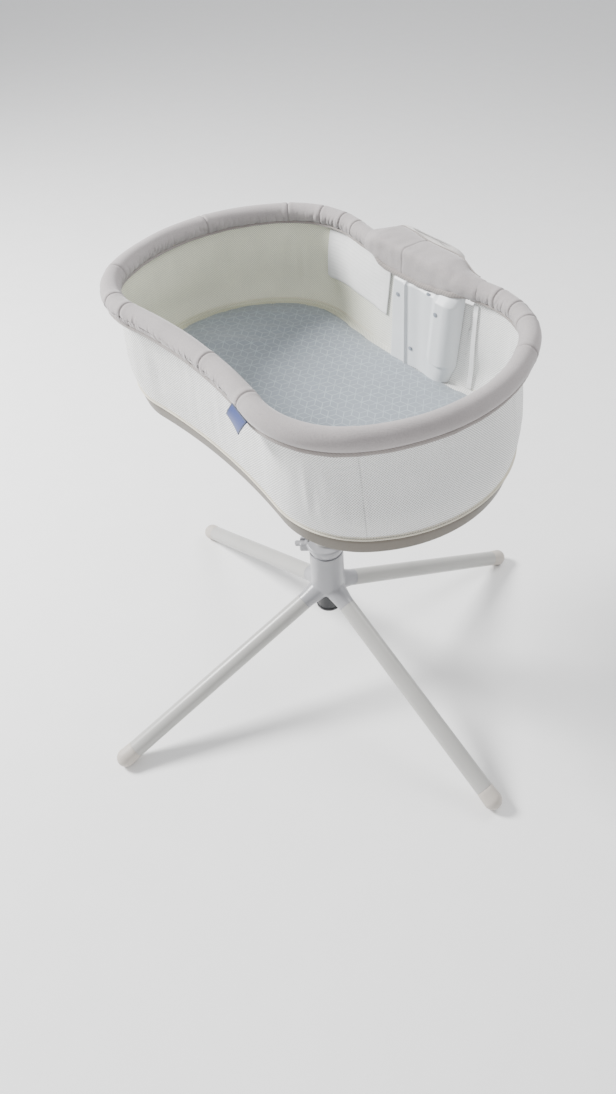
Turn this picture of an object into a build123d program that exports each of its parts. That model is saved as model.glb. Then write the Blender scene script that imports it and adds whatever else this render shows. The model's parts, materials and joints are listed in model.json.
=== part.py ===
from build123d import *
import math
import os

# Bassinet on a swivel stand. Millimetres, +Z up. The origin is on the floor under the post,
# +X runs along the basket towards its foot end and +Y towards the hinge tower.

# ---------------------------------------------------------------- driving dimensions
LEG_ANGLES = (0, 82, 180, 262)      # direction of each leg about the post
LEG_RADIUS = 21.0
LEG_WALL = 1.5
LEG_ROOT_Z = 292.0                  # height where the leg axes meet the post axis
FOOT_REACH = 580.0                  # centre of a foot ball from the post axis
FOOT_RADIUS = 22.5
SOCKET_END = 72.0                   # seam between hub and leg, from the post axis
LEG_END = 553.0                     # seam between leg and foot cap, from the post axis
PAD_RADIUS = 13.0
PAD_DEPTH = 3.5

HUB_RADIUS = 41.0
HUB_TOP = 404.0
SLEEVE_RADIUS = 31.0
SLEEVE_BOTTOM = 218.0
COLLAR_TOP = 436.0
COLLAR_RADIUS = (38.0, 47.0)        # bowl of the collar at its bottom and top
COLLAR_SCREW_ANGLES = (80, 180, 280)
LEVER_ANGLE = 229.0                 # direction of the height lever about the post
LEVER_Z = COLLAR_TOP - 10
LEVER_PIN_X = 46.0                  # lever pin, from the post axis
LEVER_PIN_RADIUS = 2.0
LEVER_HALF_WIDTH = 6.7
SCREW_RADIUS = 2.0                  # collar and hinge screws

MID_RADIUS = 27.0
MID_BOTTOM = 362.0
MID_TOP = 590.0
UPPER_COLLAR_TOP = MID_TOP + 24
BUTTON_Z = MID_TOP + 10
BUTTON_RADIUS = 8.0
INNER_RADIUS = 22.0
INNER_BOTTOM = 505.0
INNER_TOP = 815.0
TUBE_WALL = 2.5
RUNNING = 0.05                      # radial clearance of a running fit
CLEAR = 0.3                         # gap between bodies that only pass each other

BUSH_LENGTH = 26.0
GLIDE_LENGTH = 14.0
FLANGE_Z = (788.2, 796.2)           # swivel flange on the post
WASHER_TOP = 799.2
PLATE_BOTTOM = 799.5                # swivel plate under the tray
PLATE_SCREW_REACH = 62.0
COVER_BOTTOM = 766.0

TRAY_BOTTOM = 809.5
TRAY_TOP = 851.0
TRAY_WALL = 4.0
TRAY_LIP = 16.0
MATTRESS_INSET = 19.7
MATTRESS_THICK = 24.5
RAIL_Z = 1071.0                     # centre line of the padded rail
PAD_TUBE_RADIUS = 20.0              # outside of the rail padding
RAIL_TUBE_RADIUS = 9.5
WALL_THICK = 3.0

# plan outlines: end reach, end radius, end half angle, shoulder radius, half width at the waist
RAIL_PLAN = (421.0, 353.7, 34.2, 169.9, 252.4)
TRAY_PLAN = (434.8, 297.0, 39.15, 180.4, 237.4)
TRAY_DRAFT = 8.6                    # how far the tray narrows towards its bottom

HINGE_Y = 257.0                     # hinge axis of the tilting rail, at RAIL_Z
HINGE_SHAFT_RADIUS = 6.0
SADDLE_X = (-76.0, 160.0)           # stretch of the far side covered by the hinge saddle
PAD_GAP = 5.0                       # gap along the rail between its padding and the saddle
SADDLE_Y = (236.0, 317.0)
SADDLE_Z = (1036.0, 1096.0)
SADDLE_WALL = 3.0
UPRIGHT_X = (0.0, 130.0)
UPRIGHT_FACE = (242.5, 247.5)       # inner and outer face of the upright at the hinge
HINGE_BLOCKS = ((0.0, 24.0), (106.0, 130.0))
HINGE_SCREW_Z = 1058.0
SPRING_STRETCHES = ((26.0, 52.0), (78.0, 104.0))
SPRING_RADIUS = 8.2
PANEL_X = (-28.0, 176.0)
PANEL_FOOT = (218.5, 853.5)         # y and z of the panel's face at its bottom edge
PANEL_HEAD = (233.5, 1035.5)        # and at its top edge
PANEL_THICK = 3.0
SNAP_POINTS = ((-9, 1000), (74, 1028), (101, 1010), (40, 893))
BACK_X = (-40.0, 110.0)             # stretch of the padded tower back below the saddle
LOBE_X = (-104.0, 76.0)             # and of its lobe behind the saddle
BACK_WALL = 4.0
LABEL_SPAN = ((-277, -50), (927, 1046))
TAPE_SPAN = ((165, 176), (856, 1043))
TAB_X = 178.0

UP = (Align.CENTER, Align.CENTER, Align.MIN)
LEG_SLOPE = math.atan2(LEG_ROOT_Z - FOOT_RADIUS, FOOT_REACH)


# ---------------------------------------------------------------- helpers
def disc(radius, low, high):
    """Solid cylinder about the post axis."""
    return Pos(0, 0, low) * Cylinder(radius, high - low, align=UP)


def tube(outer, inner, low, high):
    """Hollow cylinder about the post axis."""
    return disc(outer, low, high) - disc(inner, low, high)


def block(x, y, z):
    """Box between two x, two y and two z values."""
    size = (x[1] - x[0], y[1] - y[0], z[1] - z[0])
    return Pos((x[0] + x[1]) / 2, (y[0] + y[1]) / 2, (z[0] + z[1]) / 2) * Box(*size)


def along_leg(radius, start, end):
    """Solid cylinder on a leg axis that runs out along +X, between two reaches from the post."""
    slope = math.cos(LEG_SLOPE)
    axis = Plane(origin=(0, 0, LEG_ROOT_Z), x_dir=(0, 1, 0), z_dir=(slope, 0, -math.sin(LEG_SLOPE)))
    return axis * Pos(0, 0, start / slope) * Cylinder(radius, (end - start) / slope, align=UP)


def across_x(radius, x, y, z):
    """Solid cylinder parallel to X between two x values."""
    axis = Plane(origin=(x[0], y, z), x_dir=(0, 1, 0), z_dir=(1, 0, 0))
    return axis * Cylinder(radius, x[1] - x[0], align=UP)


def side_profile(points, x):
    """Solid with an outline in Y and Z, drawn out along X between two x values."""
    outline = Polyline([(x[0], y, z) for y, z in points], close=True)
    return extrude(make_face(outline), amount=x[1] - x[0], dir=(1, 0, 0))


def plan_arcs(plan, offset):
    """Arc ends and middles of one quarter of an outline: end, shoulder, waist."""
    reach, end_radius, end_angle, shoulder_radius, waist = plan
    turn = math.radians(end_angle)
    end_centre = (reach - end_radius, 0)
    gap = end_radius - shoulder_radius
    shoulder = (end_centre[0] + gap * math.cos(turn), gap * math.sin(turn))
    rise = shoulder_radius + shoulder[1] - waist
    waist_radius = (shoulder[0] ** 2 + (waist - shoulder[1]) ** 2 - shoulder_radius**2) / (2 * rise)
    waist_centre = (0, waist + waist_radius)
    meet = math.atan2(waist_centre[1] - shoulder[1], waist_centre[0] - shoulder[0])

    def at(centre, radius, angle):
        return (centre[0] + radius * math.cos(angle), centre[1] + radius * math.sin(angle))

    return {
        "end_mid": (reach + offset, 0),
        "end_stop": at(end_centre, end_radius + offset, turn),
        "shoulder_mid": at(shoulder, shoulder_radius + offset, (turn + meet) / 2),
        "shoulder_stop": at(shoulder, shoulder_radius + offset, meet),
        "waist_mid": (0, waist + offset),
        "waist_radius": waist_radius - offset,
        "waist_centre": waist_centre[1],
    }


def waist_y(plan, x, offset=0.0):
    """Half width of an outline at x, within its concave waist."""
    arcs = plan_arcs(plan, offset)
    return arcs["waist_centre"] - math.sqrt(arcs["waist_radius"] ** 2 - x**2)


def plan_face(plan, offset, height):
    """Flat face inside a whole outline, at a height."""
    a = plan_arcs(plan, offset)

    def p(name, sx, sy):
        return (sx * a[name][0], sy * a[name][1], height)

    arcs = [ThreePointArc(p("end_stop", 1, -1), p("end_mid", 1, 1), p("end_stop", 1, 1))]
    arcs.append(ThreePointArc(p("end_stop", 1, 1), p("shoulder_mid", 1, 1), p("shoulder_stop", 1, 1)))
    arcs.append(ThreePointArc(p("shoulder_stop", 1, 1), p("waist_mid", 1, 1), p("shoulder_stop", -1, 1)))
    arcs.append(ThreePointArc(p("shoulder_stop", -1, 1), p("shoulder_mid", -1, 1), p("end_stop", -1, 1)))
    arcs.append(ThreePointArc(p("end_stop", -1, 1), p("end_mid", -1, 1), p("end_stop", -1, -1)))
    arcs.append(ThreePointArc(p("end_stop", -1, -1), p("shoulder_mid", -1, -1), p("shoulder_stop", -1, -1)))
    arcs.append(ThreePointArc(p("shoulder_stop", -1, -1), p("waist_mid", 1, -1), p("shoulder_stop", 1, -1)))
    arcs.append(ThreePointArc(p("shoulder_stop", 1, -1), p("shoulder_mid", 1, -1), p("end_stop", 1, -1)))
    return make_face(Wire(arcs))


def rail_path(plan, offset, height, stop_x, start_x):
    """Open outline that leaves out the stretch of the far side between stop_x and start_x."""
    a = plan_arcs(plan, offset)

    def p(name, sx, sy):
        return (sx * a[name][0], sy * a[name][1], height)

    def far(x):
        return (x, waist_y(plan, x, offset), height)

    join = a["shoulder_stop"][0]
    arcs = [ThreePointArc(far(start_x), far((start_x + join) / 2), p("shoulder_stop", 1, 1))]
    arcs.append(ThreePointArc(p("shoulder_stop", 1, 1), p("shoulder_mid", 1, 1), p("end_stop", 1, 1)))
    arcs.append(ThreePointArc(p("end_stop", 1, 1), p("end_mid", 1, 1), p("end_stop", 1, -1)))
    arcs.append(ThreePointArc(p("end_stop", 1, -1), p("shoulder_mid", 1, -1), p("shoulder_stop", 1, -1)))
    arcs.append(ThreePointArc(p("shoulder_stop", 1, -1), p("waist_mid", 1, -1), p("shoulder_stop", -1, -1)))
    arcs.append(ThreePointArc(p("shoulder_stop", -1, -1), p("shoulder_mid", -1, -1), p("end_stop", -1, -1)))
    arcs.append(ThreePointArc(p("end_stop", -1, -1), p("end_mid", -1, 1), p("end_stop", -1, 1)))
    arcs.append(ThreePointArc(p("end_stop", -1, 1), p("shoulder_mid", -1, 1), p("shoulder_stop", -1, 1)))
    arcs.append(ThreePointArc(p("shoulder_stop", -1, 1), far((stop_x - join) / 2), far(stop_x)))
    return Wire(arcs)


def sweep_ring(outer, inner, path):
    """Round bar or tube along a path."""
    plane = Plane(origin=path @ 0, z_dir=path % 0)
    section = plane * Circle(outer)
    if inner:
        section = section - plane * Circle(inner)
    return sweep(section, path=path)


def wall_ring(outer_offset, thickness):
    """Upright fabric wall between the tray rim and the underside of the rail."""
    low = TRAY_TOP
    high = RAIL_Z - PAD_TUBE_RADIUS - CLEAR

    def shell(offset):
        return loft([plan_face(TRAY_PLAN, offset - 2, low), plan_face(RAIL_PLAN, offset, high)], ruled=True)

    return shell(outer_offset) - shell(outer_offset - thickness)


def around_post(thing, angle):
    """Copy turned about the post axis."""
    return Rot(0, 0, angle) * thing


# ---------------------------------------------------------------- stand
def make_hub():
    body = disc(HUB_RADIUS, LEG_ROOT_Z, HUB_TOP) + Pos(0, 0, LEG_ROOT_Z) * Sphere(HUB_RADIUS)
    for angle in LEG_ANGLES:
        body += around_post(along_leg(LEG_RADIUS, 0, SOCKET_END), angle)
        body += around_post(along_leg(LEG_RADIUS - LEG_WALL - CLEAR, SOCKET_END - 5, SOCKET_END + 45), angle)
    body -= disc(SLEEVE_RADIUS, 0, HUB_TOP + 1)
    for angle in LEG_ANGLES:
        body -= around_post(leg_screw_hole(), angle)
    return body


def leg_screw_axis():
    """Plane at the underside of a leg, pointing up through it, on the leg along +X."""
    reach = SOCKET_END + 22
    centre = (reach, 0, LEG_ROOT_Z - reach * math.tan(LEG_SLOPE))
    return Plane(origin=centre, x_dir=(0, 1, 0), z_dir=(math.sin(LEG_SLOPE), 0, math.cos(LEG_SLOPE)))


def leg_screw_hole():
    return leg_screw_axis() * Pos(0, 0, -LEG_RADIUS - 1) * Cylinder(3.0, LEG_RADIUS + 1, align=UP)


def make_leg_screw():
    shank = Pos(0, 0, -LEG_RADIUS) * Cylinder(2.9, LEG_RADIUS - 3, align=UP)
    head = Pos(0, 0, -LEG_RADIUS - 2.5) * Cylinder(5.5, 2.4, align=UP)
    neck = Pos(0, 0, -LEG_RADIUS - 1) * Cylinder(2.9, 2, align=UP)
    return leg_screw_axis() * (shank + neck + head)


def make_leg():
    leg = along_leg(LEG_RADIUS, SOCKET_END, LEG_END) - along_leg(LEG_RADIUS - LEG_WALL, SOCKET_END - 1, LEG_END + 1)
    return leg - leg_screw_hole()


def make_foot_cap():
    ball = Pos(FOOT_REACH, 0, FOOT_RADIUS) * Sphere(FOOT_RADIUS)
    cap = along_leg(LEG_RADIUS, LEG_END, FOOT_REACH) + ball
    cap += along_leg(LEG_RADIUS - LEG_WALL - CLEAR, LEG_END - 30, LEG_END + 5)
    cap -= Pos(FOOT_REACH, 0, 0) * Cylinder(60, PAD_DEPTH, align=UP)
    cap -= Pos(FOOT_REACH, 0, 0) * Cylinder(PAD_RADIUS - 4, PAD_DEPTH + 6, align=UP)
    return cap


def make_foot_pad():
    sole = Pos(FOOT_REACH, 0, 0) * Cylinder(PAD_RADIUS, PAD_DEPTH, align=UP)
    return sole + Pos(FOOT_REACH, 0, PAD_DEPTH) * Cylinder(PAD_RADIUS - 4.1, 5, align=UP)


def across_lever(radius, length):
    """Cylinder along the lever's pin, before the collar is turned to its place."""
    return Pos(LEVER_PIN_X, 0, LEVER_Z) * Rot(90, 0, 0) * Cylinder(radius, length)


def make_collar():
    """Bowl-shaped collar around the middle tube, with a pod that holds the height lever."""
    low, high = COLLAR_RADIUS
    bowl = loft([Pos(0, 0, HUB_TOP) * Circle(low), Pos(0, 0, COLLAR_TOP - 8) * Circle(high)])
    bowl += disc(high, COLLAR_TOP - 8, COLLAR_TOP)
    pod = block((20, 62), (-15, 15), (HUB_TOP + 8, COLLAR_TOP))
    body = bowl + fillet(pod.edges().filter_by(Axis.Z), 6)
    body -= block((MID_RADIUS - 2, 70), (-7, 7), (HUB_TOP + 12, COLLAR_TOP + 1))
    body -= disc(MID_RADIUS + CLEAR, HUB_TOP - 1, COLLAR_TOP + 1)
    body -= across_lever(LEVER_PIN_RADIUS + 0.1, 24)
    for angle in COLLAR_SCREW_ANGLES:
        body -= around_post(Pos(34.5, 0, HUB_TOP - 1) * Cylinder(2.1, 40, align=UP), angle)
    return around_post(body, LEVER_ANGLE)


def make_lever():
    """Cam lever: its nose rests against the middle tube and its paddle stands out of the pod."""
    width = (-LEVER_HALF_WIDTH, LEVER_HALF_WIDTH)
    height = (LEVER_Z - 3, LEVER_Z + 3)
    hub = across_lever(6, 2 * LEVER_HALF_WIDTH)
    paddle = block((LEVER_PIN_X, LEVER_PIN_X + 28), width, height)
    paddle = fillet(paddle.edges().filter_by(Axis.Z).sort_by(Axis.X)[-2:], 5)
    nose = block((MID_RADIUS + 2 * CLEAR, LEVER_PIN_X), width, height)
    body = hub + paddle + nose - across_lever(LEVER_PIN_RADIUS + RUNNING, 30)
    return around_post(body, LEVER_ANGLE)


def make_lever_pin():
    return around_post(across_lever(LEVER_PIN_RADIUS, 23), LEVER_ANGLE)


def make_collar_screws():
    screws = []
    for angle in COLLAR_SCREW_ANGLES:
        screw = Pos(34.5, 0, HUB_TOP) * Cylinder(SCREW_RADIUS, 31.5, align=UP)
        screws.append(around_post(screw, angle + LEVER_ANGLE))
    return Compound(children=screws)


# ---------------------------------------------------------------- column
def make_upper_collar():
    body = disc(38, MID_TOP - 12, UPPER_COLLAR_TOP)
    body = chamfer(body.edges().group_by(Axis.Z)[-1], 5)
    body -= disc(MID_RADIUS, MID_TOP - 13, MID_TOP)
    body -= disc(INNER_RADIUS + CLEAR, MID_TOP - 13, UPPER_COLLAR_TOP + 1)
    pocket = Plane(origin=(0, -24, BUTTON_Z), x_dir=(1, 0, 0), z_dir=(0, -1, 0))
    return body - pocket * Cylinder(BUTTON_RADIUS + CLEAR, 20, align=UP)


def make_release_button():
    pocket = Plane(origin=(0, -29, BUTTON_Z), x_dir=(1, 0, 0), z_dir=(0, -1, 0))
    body = pocket * Cylinder(BUTTON_RADIUS, 13, align=UP)
    return fillet(body.edges().sort_by(Axis.Y)[0], 1.5)


def make_post_flange():
    body = disc(60, *FLANGE_Z) + disc(27, FLANGE_Z[0] - 28, FLANGE_Z[0] + 1)
    return body - disc(INNER_RADIUS, 700, 800)


# ---------------------------------------------------------------- basket
def plate_holes(radius, low, high):
    holes = []
    for angle in (45, 135, 225, 315):
        hole = Pos(PLATE_SCREW_REACH, 0, low) * Cylinder(radius, high - low, align=UP)
        holes.append(around_post(hole, angle))
    return holes


def make_swivel_plate():
    body = disc(80, PLATE_BOTTOM, TRAY_BOTTOM) - disc(INNER_RADIUS + RUNNING, 790, 820)
    for hole in plate_holes(3.1, 790, 820):
        body -= hole
    return body


def make_swivel_cover():
    """Bell-shaped cover that closes the swivel under the tray."""
    outer = loft([Pos(0, 0, COVER_BOTTOM) * Circle(46), Pos(0, 0, TRAY_BOTTOM) * Circle(98)], ruled=True)
    inner = loft([Pos(0, 0, COVER_BOTTOM + 3) * Circle(44), Pos(0, 0, TRAY_BOTTOM) * Circle(95)], ruled=True)
    return outer - inner - disc(30, COVER_BOTTOM - 6, COVER_BOTTOM + 4)


def make_plate_screws():
    screws = []
    for hole in plate_holes(3.0, PLATE_BOTTOM, TRAY_BOTTOM + 11):
        screws.append(hole)
    return Compound(children=screws)


def make_tray():
    lip_low = TRAY_TOP - 4
    foot = plan_face(TRAY_PLAN, -TRAY_DRAFT, TRAY_BOTTOM)
    outer = loft([foot, plan_face(TRAY_PLAN, 0, TRAY_TOP)], ruled=True)
    floor = plan_face(TRAY_PLAN, -TRAY_DRAFT - TRAY_WALL, TRAY_BOTTOM + 3)
    inner = loft([floor, plan_face(TRAY_PLAN, -TRAY_WALL, lip_low)], ruled=True)
    body = outer - inner - extrude(plan_face(TRAY_PLAN, -TRAY_LIP, lip_low - 1), amount=8)
    body -= disc(32, 800, 815)
    for hole in plate_holes(3.1, 800, 815):
        body -= hole
    return body - block((UPRIGHT_X[0] - 1, UPRIGHT_X[1] + 1), (215, 233), (lip_low - 1, TRAY_TOP + 1))


def make_support_frame():
    """Pressed steel cross inside the tray that carries the mattress board."""
    low = TRAY_BOTTOM + 3
    high = low + 8
    body = disc(80, low, high)
    body += block((-330, 330), (-20, 20), (low, high))
    body += block((-20, 20), (-190, 140), (low, high))
    body -= disc(34, low - 1, high + 1)
    for hole in plate_holes(3.1, low - 1, high + 1):
        body -= hole
    return body


def mattress_layer(inset, low, high):
    body = extrude(plan_face(TRAY_PLAN, -inset, low), amount=high - low)
    return body - block((UPRIGHT_X[0] - 6, UPRIGHT_X[1] + 6), (216, 300), (low - 1, high + 1))


def make_tray_piping():
    edge = plan_face(TRAY_PLAN, 1.6, TRAY_TOP + 1.5).face().outer_wire()
    return sweep_ring(1.8, 0, edge)


def wall_part(ring, x, y):
    return ring & block(x, y, (TRAY_TOP - 1, RAIL_Z))


# ---------------------------------------------------------------- tower
def hinge_screw_planes():
    """Planes on the inner face of the upright, two to a hinge block, pointing outwards."""
    planes = []
    for low, high in HINGE_BLOCKS:
        for x in (low + 6, high - 6):
            planes.append(Plane(origin=(x, UPRIGHT_FACE[0], HINGE_SCREW_Z), x_dir=(1, 0, 0), z_dir=(0, 1, 0)))
    return planes


def make_upright():
    inner_y, outer_y = UPRIGHT_FACE
    inner = [(150, 812.5), (150, 817), (217, 817), (225, 852), (inner_y, 1040), (inner_y, 1068)]
    outer = [(outer_y, 1068), (outer_y, 1040), (230.5, 852), (222, 812.5)]
    body = side_profile(inner + outer, UPRIGHT_X)
    for plane in hinge_screw_planes():
        body -= plane * Cylinder(SCREW_RADIUS + 0.1, 20)
    return body


def make_hinge_block(x):
    foot = block(x, (UPRIGHT_FACE[1], HINGE_Y + 10), (1052, RAIL_Z))
    ear = across_x(13, x, HINGE_Y, RAIL_Z) & block(x, (UPRIGHT_FACE[1], 300), (1000, 1100))
    body = foot + ear - across_x(HINGE_SHAFT_RADIUS + RUNNING, (x[0] - 1, x[1] + 1), HINGE_Y, RAIL_Z)
    for plane in hinge_screw_planes():
        body -= plane * Cylinder(SCREW_RADIUS + 0.1, 15, align=UP)
    return body


def make_hinge_screws():
    screws = []
    for plane in hinge_screw_planes():
        head = plane * Pos(0, 0, -2.2) * Cylinder(3.8, 2.2, align=UP)
        screws.append(head + plane * Cylinder(SCREW_RADIUS, 14, align=UP))
    return Compound(children=screws)


def make_torsion_spring(x):
    """Coil that turns on the hinge shaft and lifts the rail."""
    coil = Helix(pitch=3.2, height=x[1] - x[0] - 4, radius=SPRING_RADIUS)
    wire = sweep(Plane(origin=coil @ 0, z_dir=coil % 0) * Circle(1.2), path=coil, is_frenet=True)
    return Plane(origin=(x[0] + 2, HINGE_Y, RAIL_Z), x_dir=(0, 1, 0), z_dir=(1, 0, 0)) * wire


def make_inner_panel():
    """Moulded cover of the tower inside the cot, with a vertical ridge and a raised pocket."""
    slab = raised_band(0, PANEL_THICK, (PANEL_FOOT[1], PANEL_HEAD[1]), PANEL_X)
    pocket = raised_band(-4.5, 1, (870, 1000), (95, 160))
    ridge = raised_band(-1.8, 1, (856, 1030), (28, 34))
    return slab + pocket + ridge


def raised_band(front, back, z, x):
    """Slab that follows the panel's slope, between two depths from its face."""
    low, high = panel_face_y(z[0]), panel_face_y(z[1])
    corners = [(low + front, z[0]), (high + front, z[1]), (high + back, z[1]), (low + back, z[0])]
    return side_profile(corners, x)


def panel_face_y(height):
    """Front of the inner panel at a height."""
    rise = (height - PANEL_FOOT[1]) / (PANEL_HEAD[1] - PANEL_FOOT[1])
    return PANEL_FOOT[0] + rise * (PANEL_HEAD[0] - PANEL_FOOT[0])


def make_panel_snaps():
    snaps = []
    for x, z in SNAP_POINTS:
        face = Plane(origin=(x, panel_face_y(z) - 0.3, z), x_dir=(1, 0, 0), z_dir=(0, -1, 0.083))
        snaps.append(face * Cylinder(4.5, 1.6, align=UP))
    return Compound(children=snaps)


def saddle_outline(inset):
    """Cross-section of the saddle, open at the bottom when it is drawn with an inset."""
    inner_y = SADDLE_Y[0] + inset
    outer_y = SADDLE_Y[1] - inset
    top = SADDLE_Z[1] - inset
    bottom = SADDLE_Z[0] - 2 * inset
    points = [(inner_y, bottom), (inner_y, RAIL_Z - 1), (inner_y + 6, top - 7), (inner_y + 18, top)]
    return points + [(outer_y - 18, top), (outer_y, top - 14), (outer_y, bottom)]


def make_saddle():
    shell = side_profile(saddle_outline(0), SADDLE_X)
    body = shell - side_profile(saddle_outline(SADDLE_WALL), (SADDLE_X[0] + 4, SADDLE_X[1] - 4))
    for x in SADDLE_X:
        body -= across_x(14, (x - 5, x + 5), waist_y(RAIL_PLAN, x), RAIL_Z)
    return body


def make_tower_back():
    """Padded cover that runs from the tray up to a lobe behind the saddle."""
    seat = SADDLE_Z[0] - CLEAR
    face = SADDLE_Y[1] + 2 * CLEAR
    lower = [(241, 815), (264, 815), (290, 900), (312, 980), (331, seat), (276, seat), (246, 853)]
    hollow = [(251, 824), (260, 824), (285, 902), (307, 981), (316, 1030), (279, 1030), (252, 853)]
    lobe = [(face, 990), (341, seat), (349, 1060), (340, 1088), (face, 1088)]
    body = side_profile(lower, BACK_X) + side_profile(lobe, LOBE_X)
    return body - side_profile(hollow, (BACK_X[0] + BACK_WALL, BACK_X[1] - BACK_WALL))


# ---------------------------------------------------------------- rail
def make_rail_tube():
    path = rail_path(RAIL_PLAN, 0, RAIL_Z, SADDLE_X[0] + 4, SADDLE_X[1] - 4)
    return sweep_ring(RAIL_TUBE_RADIUS, RAIL_TUBE_RADIUS - 1.5, path)


def make_rail_padding():
    path = rail_path(RAIL_PLAN, 0, RAIL_Z, SADDLE_X[0] - PAD_GAP, SADDLE_X[1] + PAD_GAP)
    return sweep_ring(PAD_TUBE_RADIUS, RAIL_TUBE_RADIUS, path)


def make_rail_binding():
    path = rail_path(RAIL_PLAN, 13, RAIL_Z - 18.6, SADDLE_X[0] - PAD_GAP, SADDLE_X[1] + PAD_GAP)
    return sweep_ring(2.5, 0, path)


def make_rail_socket(x, tube_end):
    """Fitting that joins one end of the bent rail tube to the straight hinge shaft."""
    return across_x(12.5, x, HINGE_Y, RAIL_Z) + across_x(12.5, x, waist_y(RAIL_PLAN, tube_end), RAIL_Z)


def make_rail_tab():
    """Folded woven tab sewn to the outside of the rail on the near side."""
    y = -waist_y(RAIL_PLAN, TAB_X) - PAD_TUBE_RADIUS - 0.8
    lean = -math.degrees(math.asin(TAB_X / plan_arcs(RAIL_PLAN, 0)["waist_radius"]))
    leaf = block((-23, 23), (-2.4, 0), (-40, 6))
    leaf = fillet(leaf.edges().filter_by(Axis.Y), 3)
    return Pos(TAB_X, y, RAIL_Z) * Rot(0, 0, lean) * leaf


# ---------------------------------------------------------------- parts list
def make_parts():
    parts = {"hub": make_hub()}
    for number, angle in enumerate(LEG_ANGLES, 1):
        parts[f"leg_{number}"] = around_post(make_leg(), angle)
        parts[f"foot_cap_{number}"] = around_post(make_foot_cap(), angle)
    parts["foot_pads"] = Compound(children=[around_post(make_foot_pad(), angle) for angle in LEG_ANGLES])
    parts["leg_screws"] = Compound(children=[around_post(make_leg_screw(), angle) for angle in LEG_ANGLES])
    parts["column_sleeve"] = tube(SLEEVE_RADIUS, SLEEVE_RADIUS - 2, SLEEVE_BOTTOM, HUB_TOP)
    parts["sleeve_end_cap"] = disc(SLEEVE_RADIUS + 1.5, SLEEVE_BOTTOM - 6, SLEEVE_BOTTOM)
    parts["guide_bush"] = tube(SLEEVE_RADIUS - 2, MID_RADIUS + RUNNING, HUB_TOP - BUSH_LENGTH, HUB_TOP)
    parts["lock_collar"] = make_collar()
    parts["collar_screws"] = make_collar_screws()
    parts["lever_pin"] = make_lever_pin()
    parts["height_lever"] = make_lever()

    parts["middle_tube"] = tube(MID_RADIUS, MID_RADIUS - TUBE_WALL, MID_BOTTOM, MID_TOP)
    glide_top = MID_BOTTOM + GLIDE_LENGTH
    parts["middle_glide"] = tube(SLEEVE_RADIUS - 2 - RUNNING, MID_RADIUS, MID_BOTTOM, glide_top)
    parts["upper_collar"] = make_upper_collar()
    bush_low = MID_TOP - BUSH_LENGTH
    parts["upper_bush"] = tube(MID_RADIUS - TUBE_WALL, INNER_RADIUS + RUNNING, bush_low, MID_TOP)
    parts["release_button"] = make_release_button()

    parts["inner_tube"] = tube(INNER_RADIUS, INNER_RADIUS - TUBE_WALL, INNER_BOTTOM, INNER_TOP)
    glide_top = INNER_BOTTOM + GLIDE_LENGTH
    parts["inner_glide"] = tube(MID_RADIUS - TUBE_WALL - RUNNING, INNER_RADIUS, INNER_BOTTOM, glide_top)
    parts["swivel_flange"] = make_post_flange()
    parts["thrust_washer"] = tube(52, INNER_RADIUS, FLANGE_Z[1], WASHER_TOP)
    parts["retaining_ring"] = tube(28, INNER_RADIUS, TRAY_BOTTOM + CLEAR, TRAY_BOTTOM + 2.3)

    parts["swivel_plate"] = make_swivel_plate()
    parts["swivel_cover"] = make_swivel_cover()
    parts["plate_screws"] = make_plate_screws()
    parts["tray"] = make_tray()
    parts["support_frame"] = make_support_frame()
    board_low = TRAY_BOTTOM + 11
    pad_low = TRAY_TOP - MATTRESS_THICK
    parts["mattress_board"] = mattress_layer(MATTRESS_INSET + 3, board_low, pad_low)
    parts["mattress_pad"] = mattress_layer(MATTRESS_INSET, pad_low, TRAY_TOP)
    parts["tray_piping"] = make_tray_piping()

    ring = wall_ring(1.5, WALL_THICK)
    parts["wall_head"] = wall_part(ring, (-460, -200), (-300, 300))
    parts["wall_foot"] = wall_part(ring, (200, 460), (-300, 300))
    parts["wall_near"] = wall_part(ring, (-200, 200), (-300, 0))
    under_saddle = block((SADDLE_X[0] - 1, SADDLE_X[1] + 1), (200, 320), (SADDLE_Z[0] - 0.5, RAIL_Z))
    parts["wall_far"] = wall_part(ring, (-200, 200), (0, 300)) - under_saddle
    lining = wall_ring(1.5 - WALL_THICK - 0.1, 0.8)
    parts["care_label"] = (lining & block(LABEL_SPAN[0], (0, 300), LABEL_SPAN[1])) - under_saddle
    parts["corner_tape"] = lining & block(TAPE_SPAN[0], (0, 300), TAPE_SPAN[1])

    parts["tower_upright"] = make_upright()
    parts["hinge_blocks"] = Compound(children=[make_hinge_block(x) for x in HINGE_BLOCKS])
    parts["hinge_screws"] = make_hinge_screws()
    parts["torsion_springs"] = Compound(children=[make_torsion_spring(x) for x in SPRING_STRETCHES])
    parts["inner_panel"] = make_inner_panel()
    parts["panel_snaps"] = make_panel_snaps()
    parts["saddle_cover"] = make_saddle()
    parts["tower_back"] = make_tower_back()

    parts["rail_tube"] = make_rail_tube()
    parts["rail_padding"] = make_rail_padding()
    parts["rail_binding"] = make_rail_binding()
    socket_x = ((SADDLE_X[0] + 6, SADDLE_X[0] + 18), (SADDLE_X[1] - 18, SADDLE_X[1] - 6))
    parts["rail_socket_head"] = make_rail_socket(socket_x[0], SADDLE_X[0] + 6)
    parts["rail_socket_foot"] = make_rail_socket(socket_x[1], SADDLE_X[1] - 6)
    parts["hinge_shaft"] = across_x(HINGE_SHAFT_RADIUS, (socket_x[0][1], socket_x[1][0]), HINGE_Y, RAIL_Z)
    parts["rail_tab"] = make_rail_tab()
    return parts


def main():
    os.makedirs("parts", exist_ok=True)
    for name, shape in make_parts().items():
        export_step(shape, f"parts/{name}.step")


main()
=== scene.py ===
"""Bassinet on a swivel stand: the visible pieces, modelled round the fixed CAD frame."""

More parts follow.
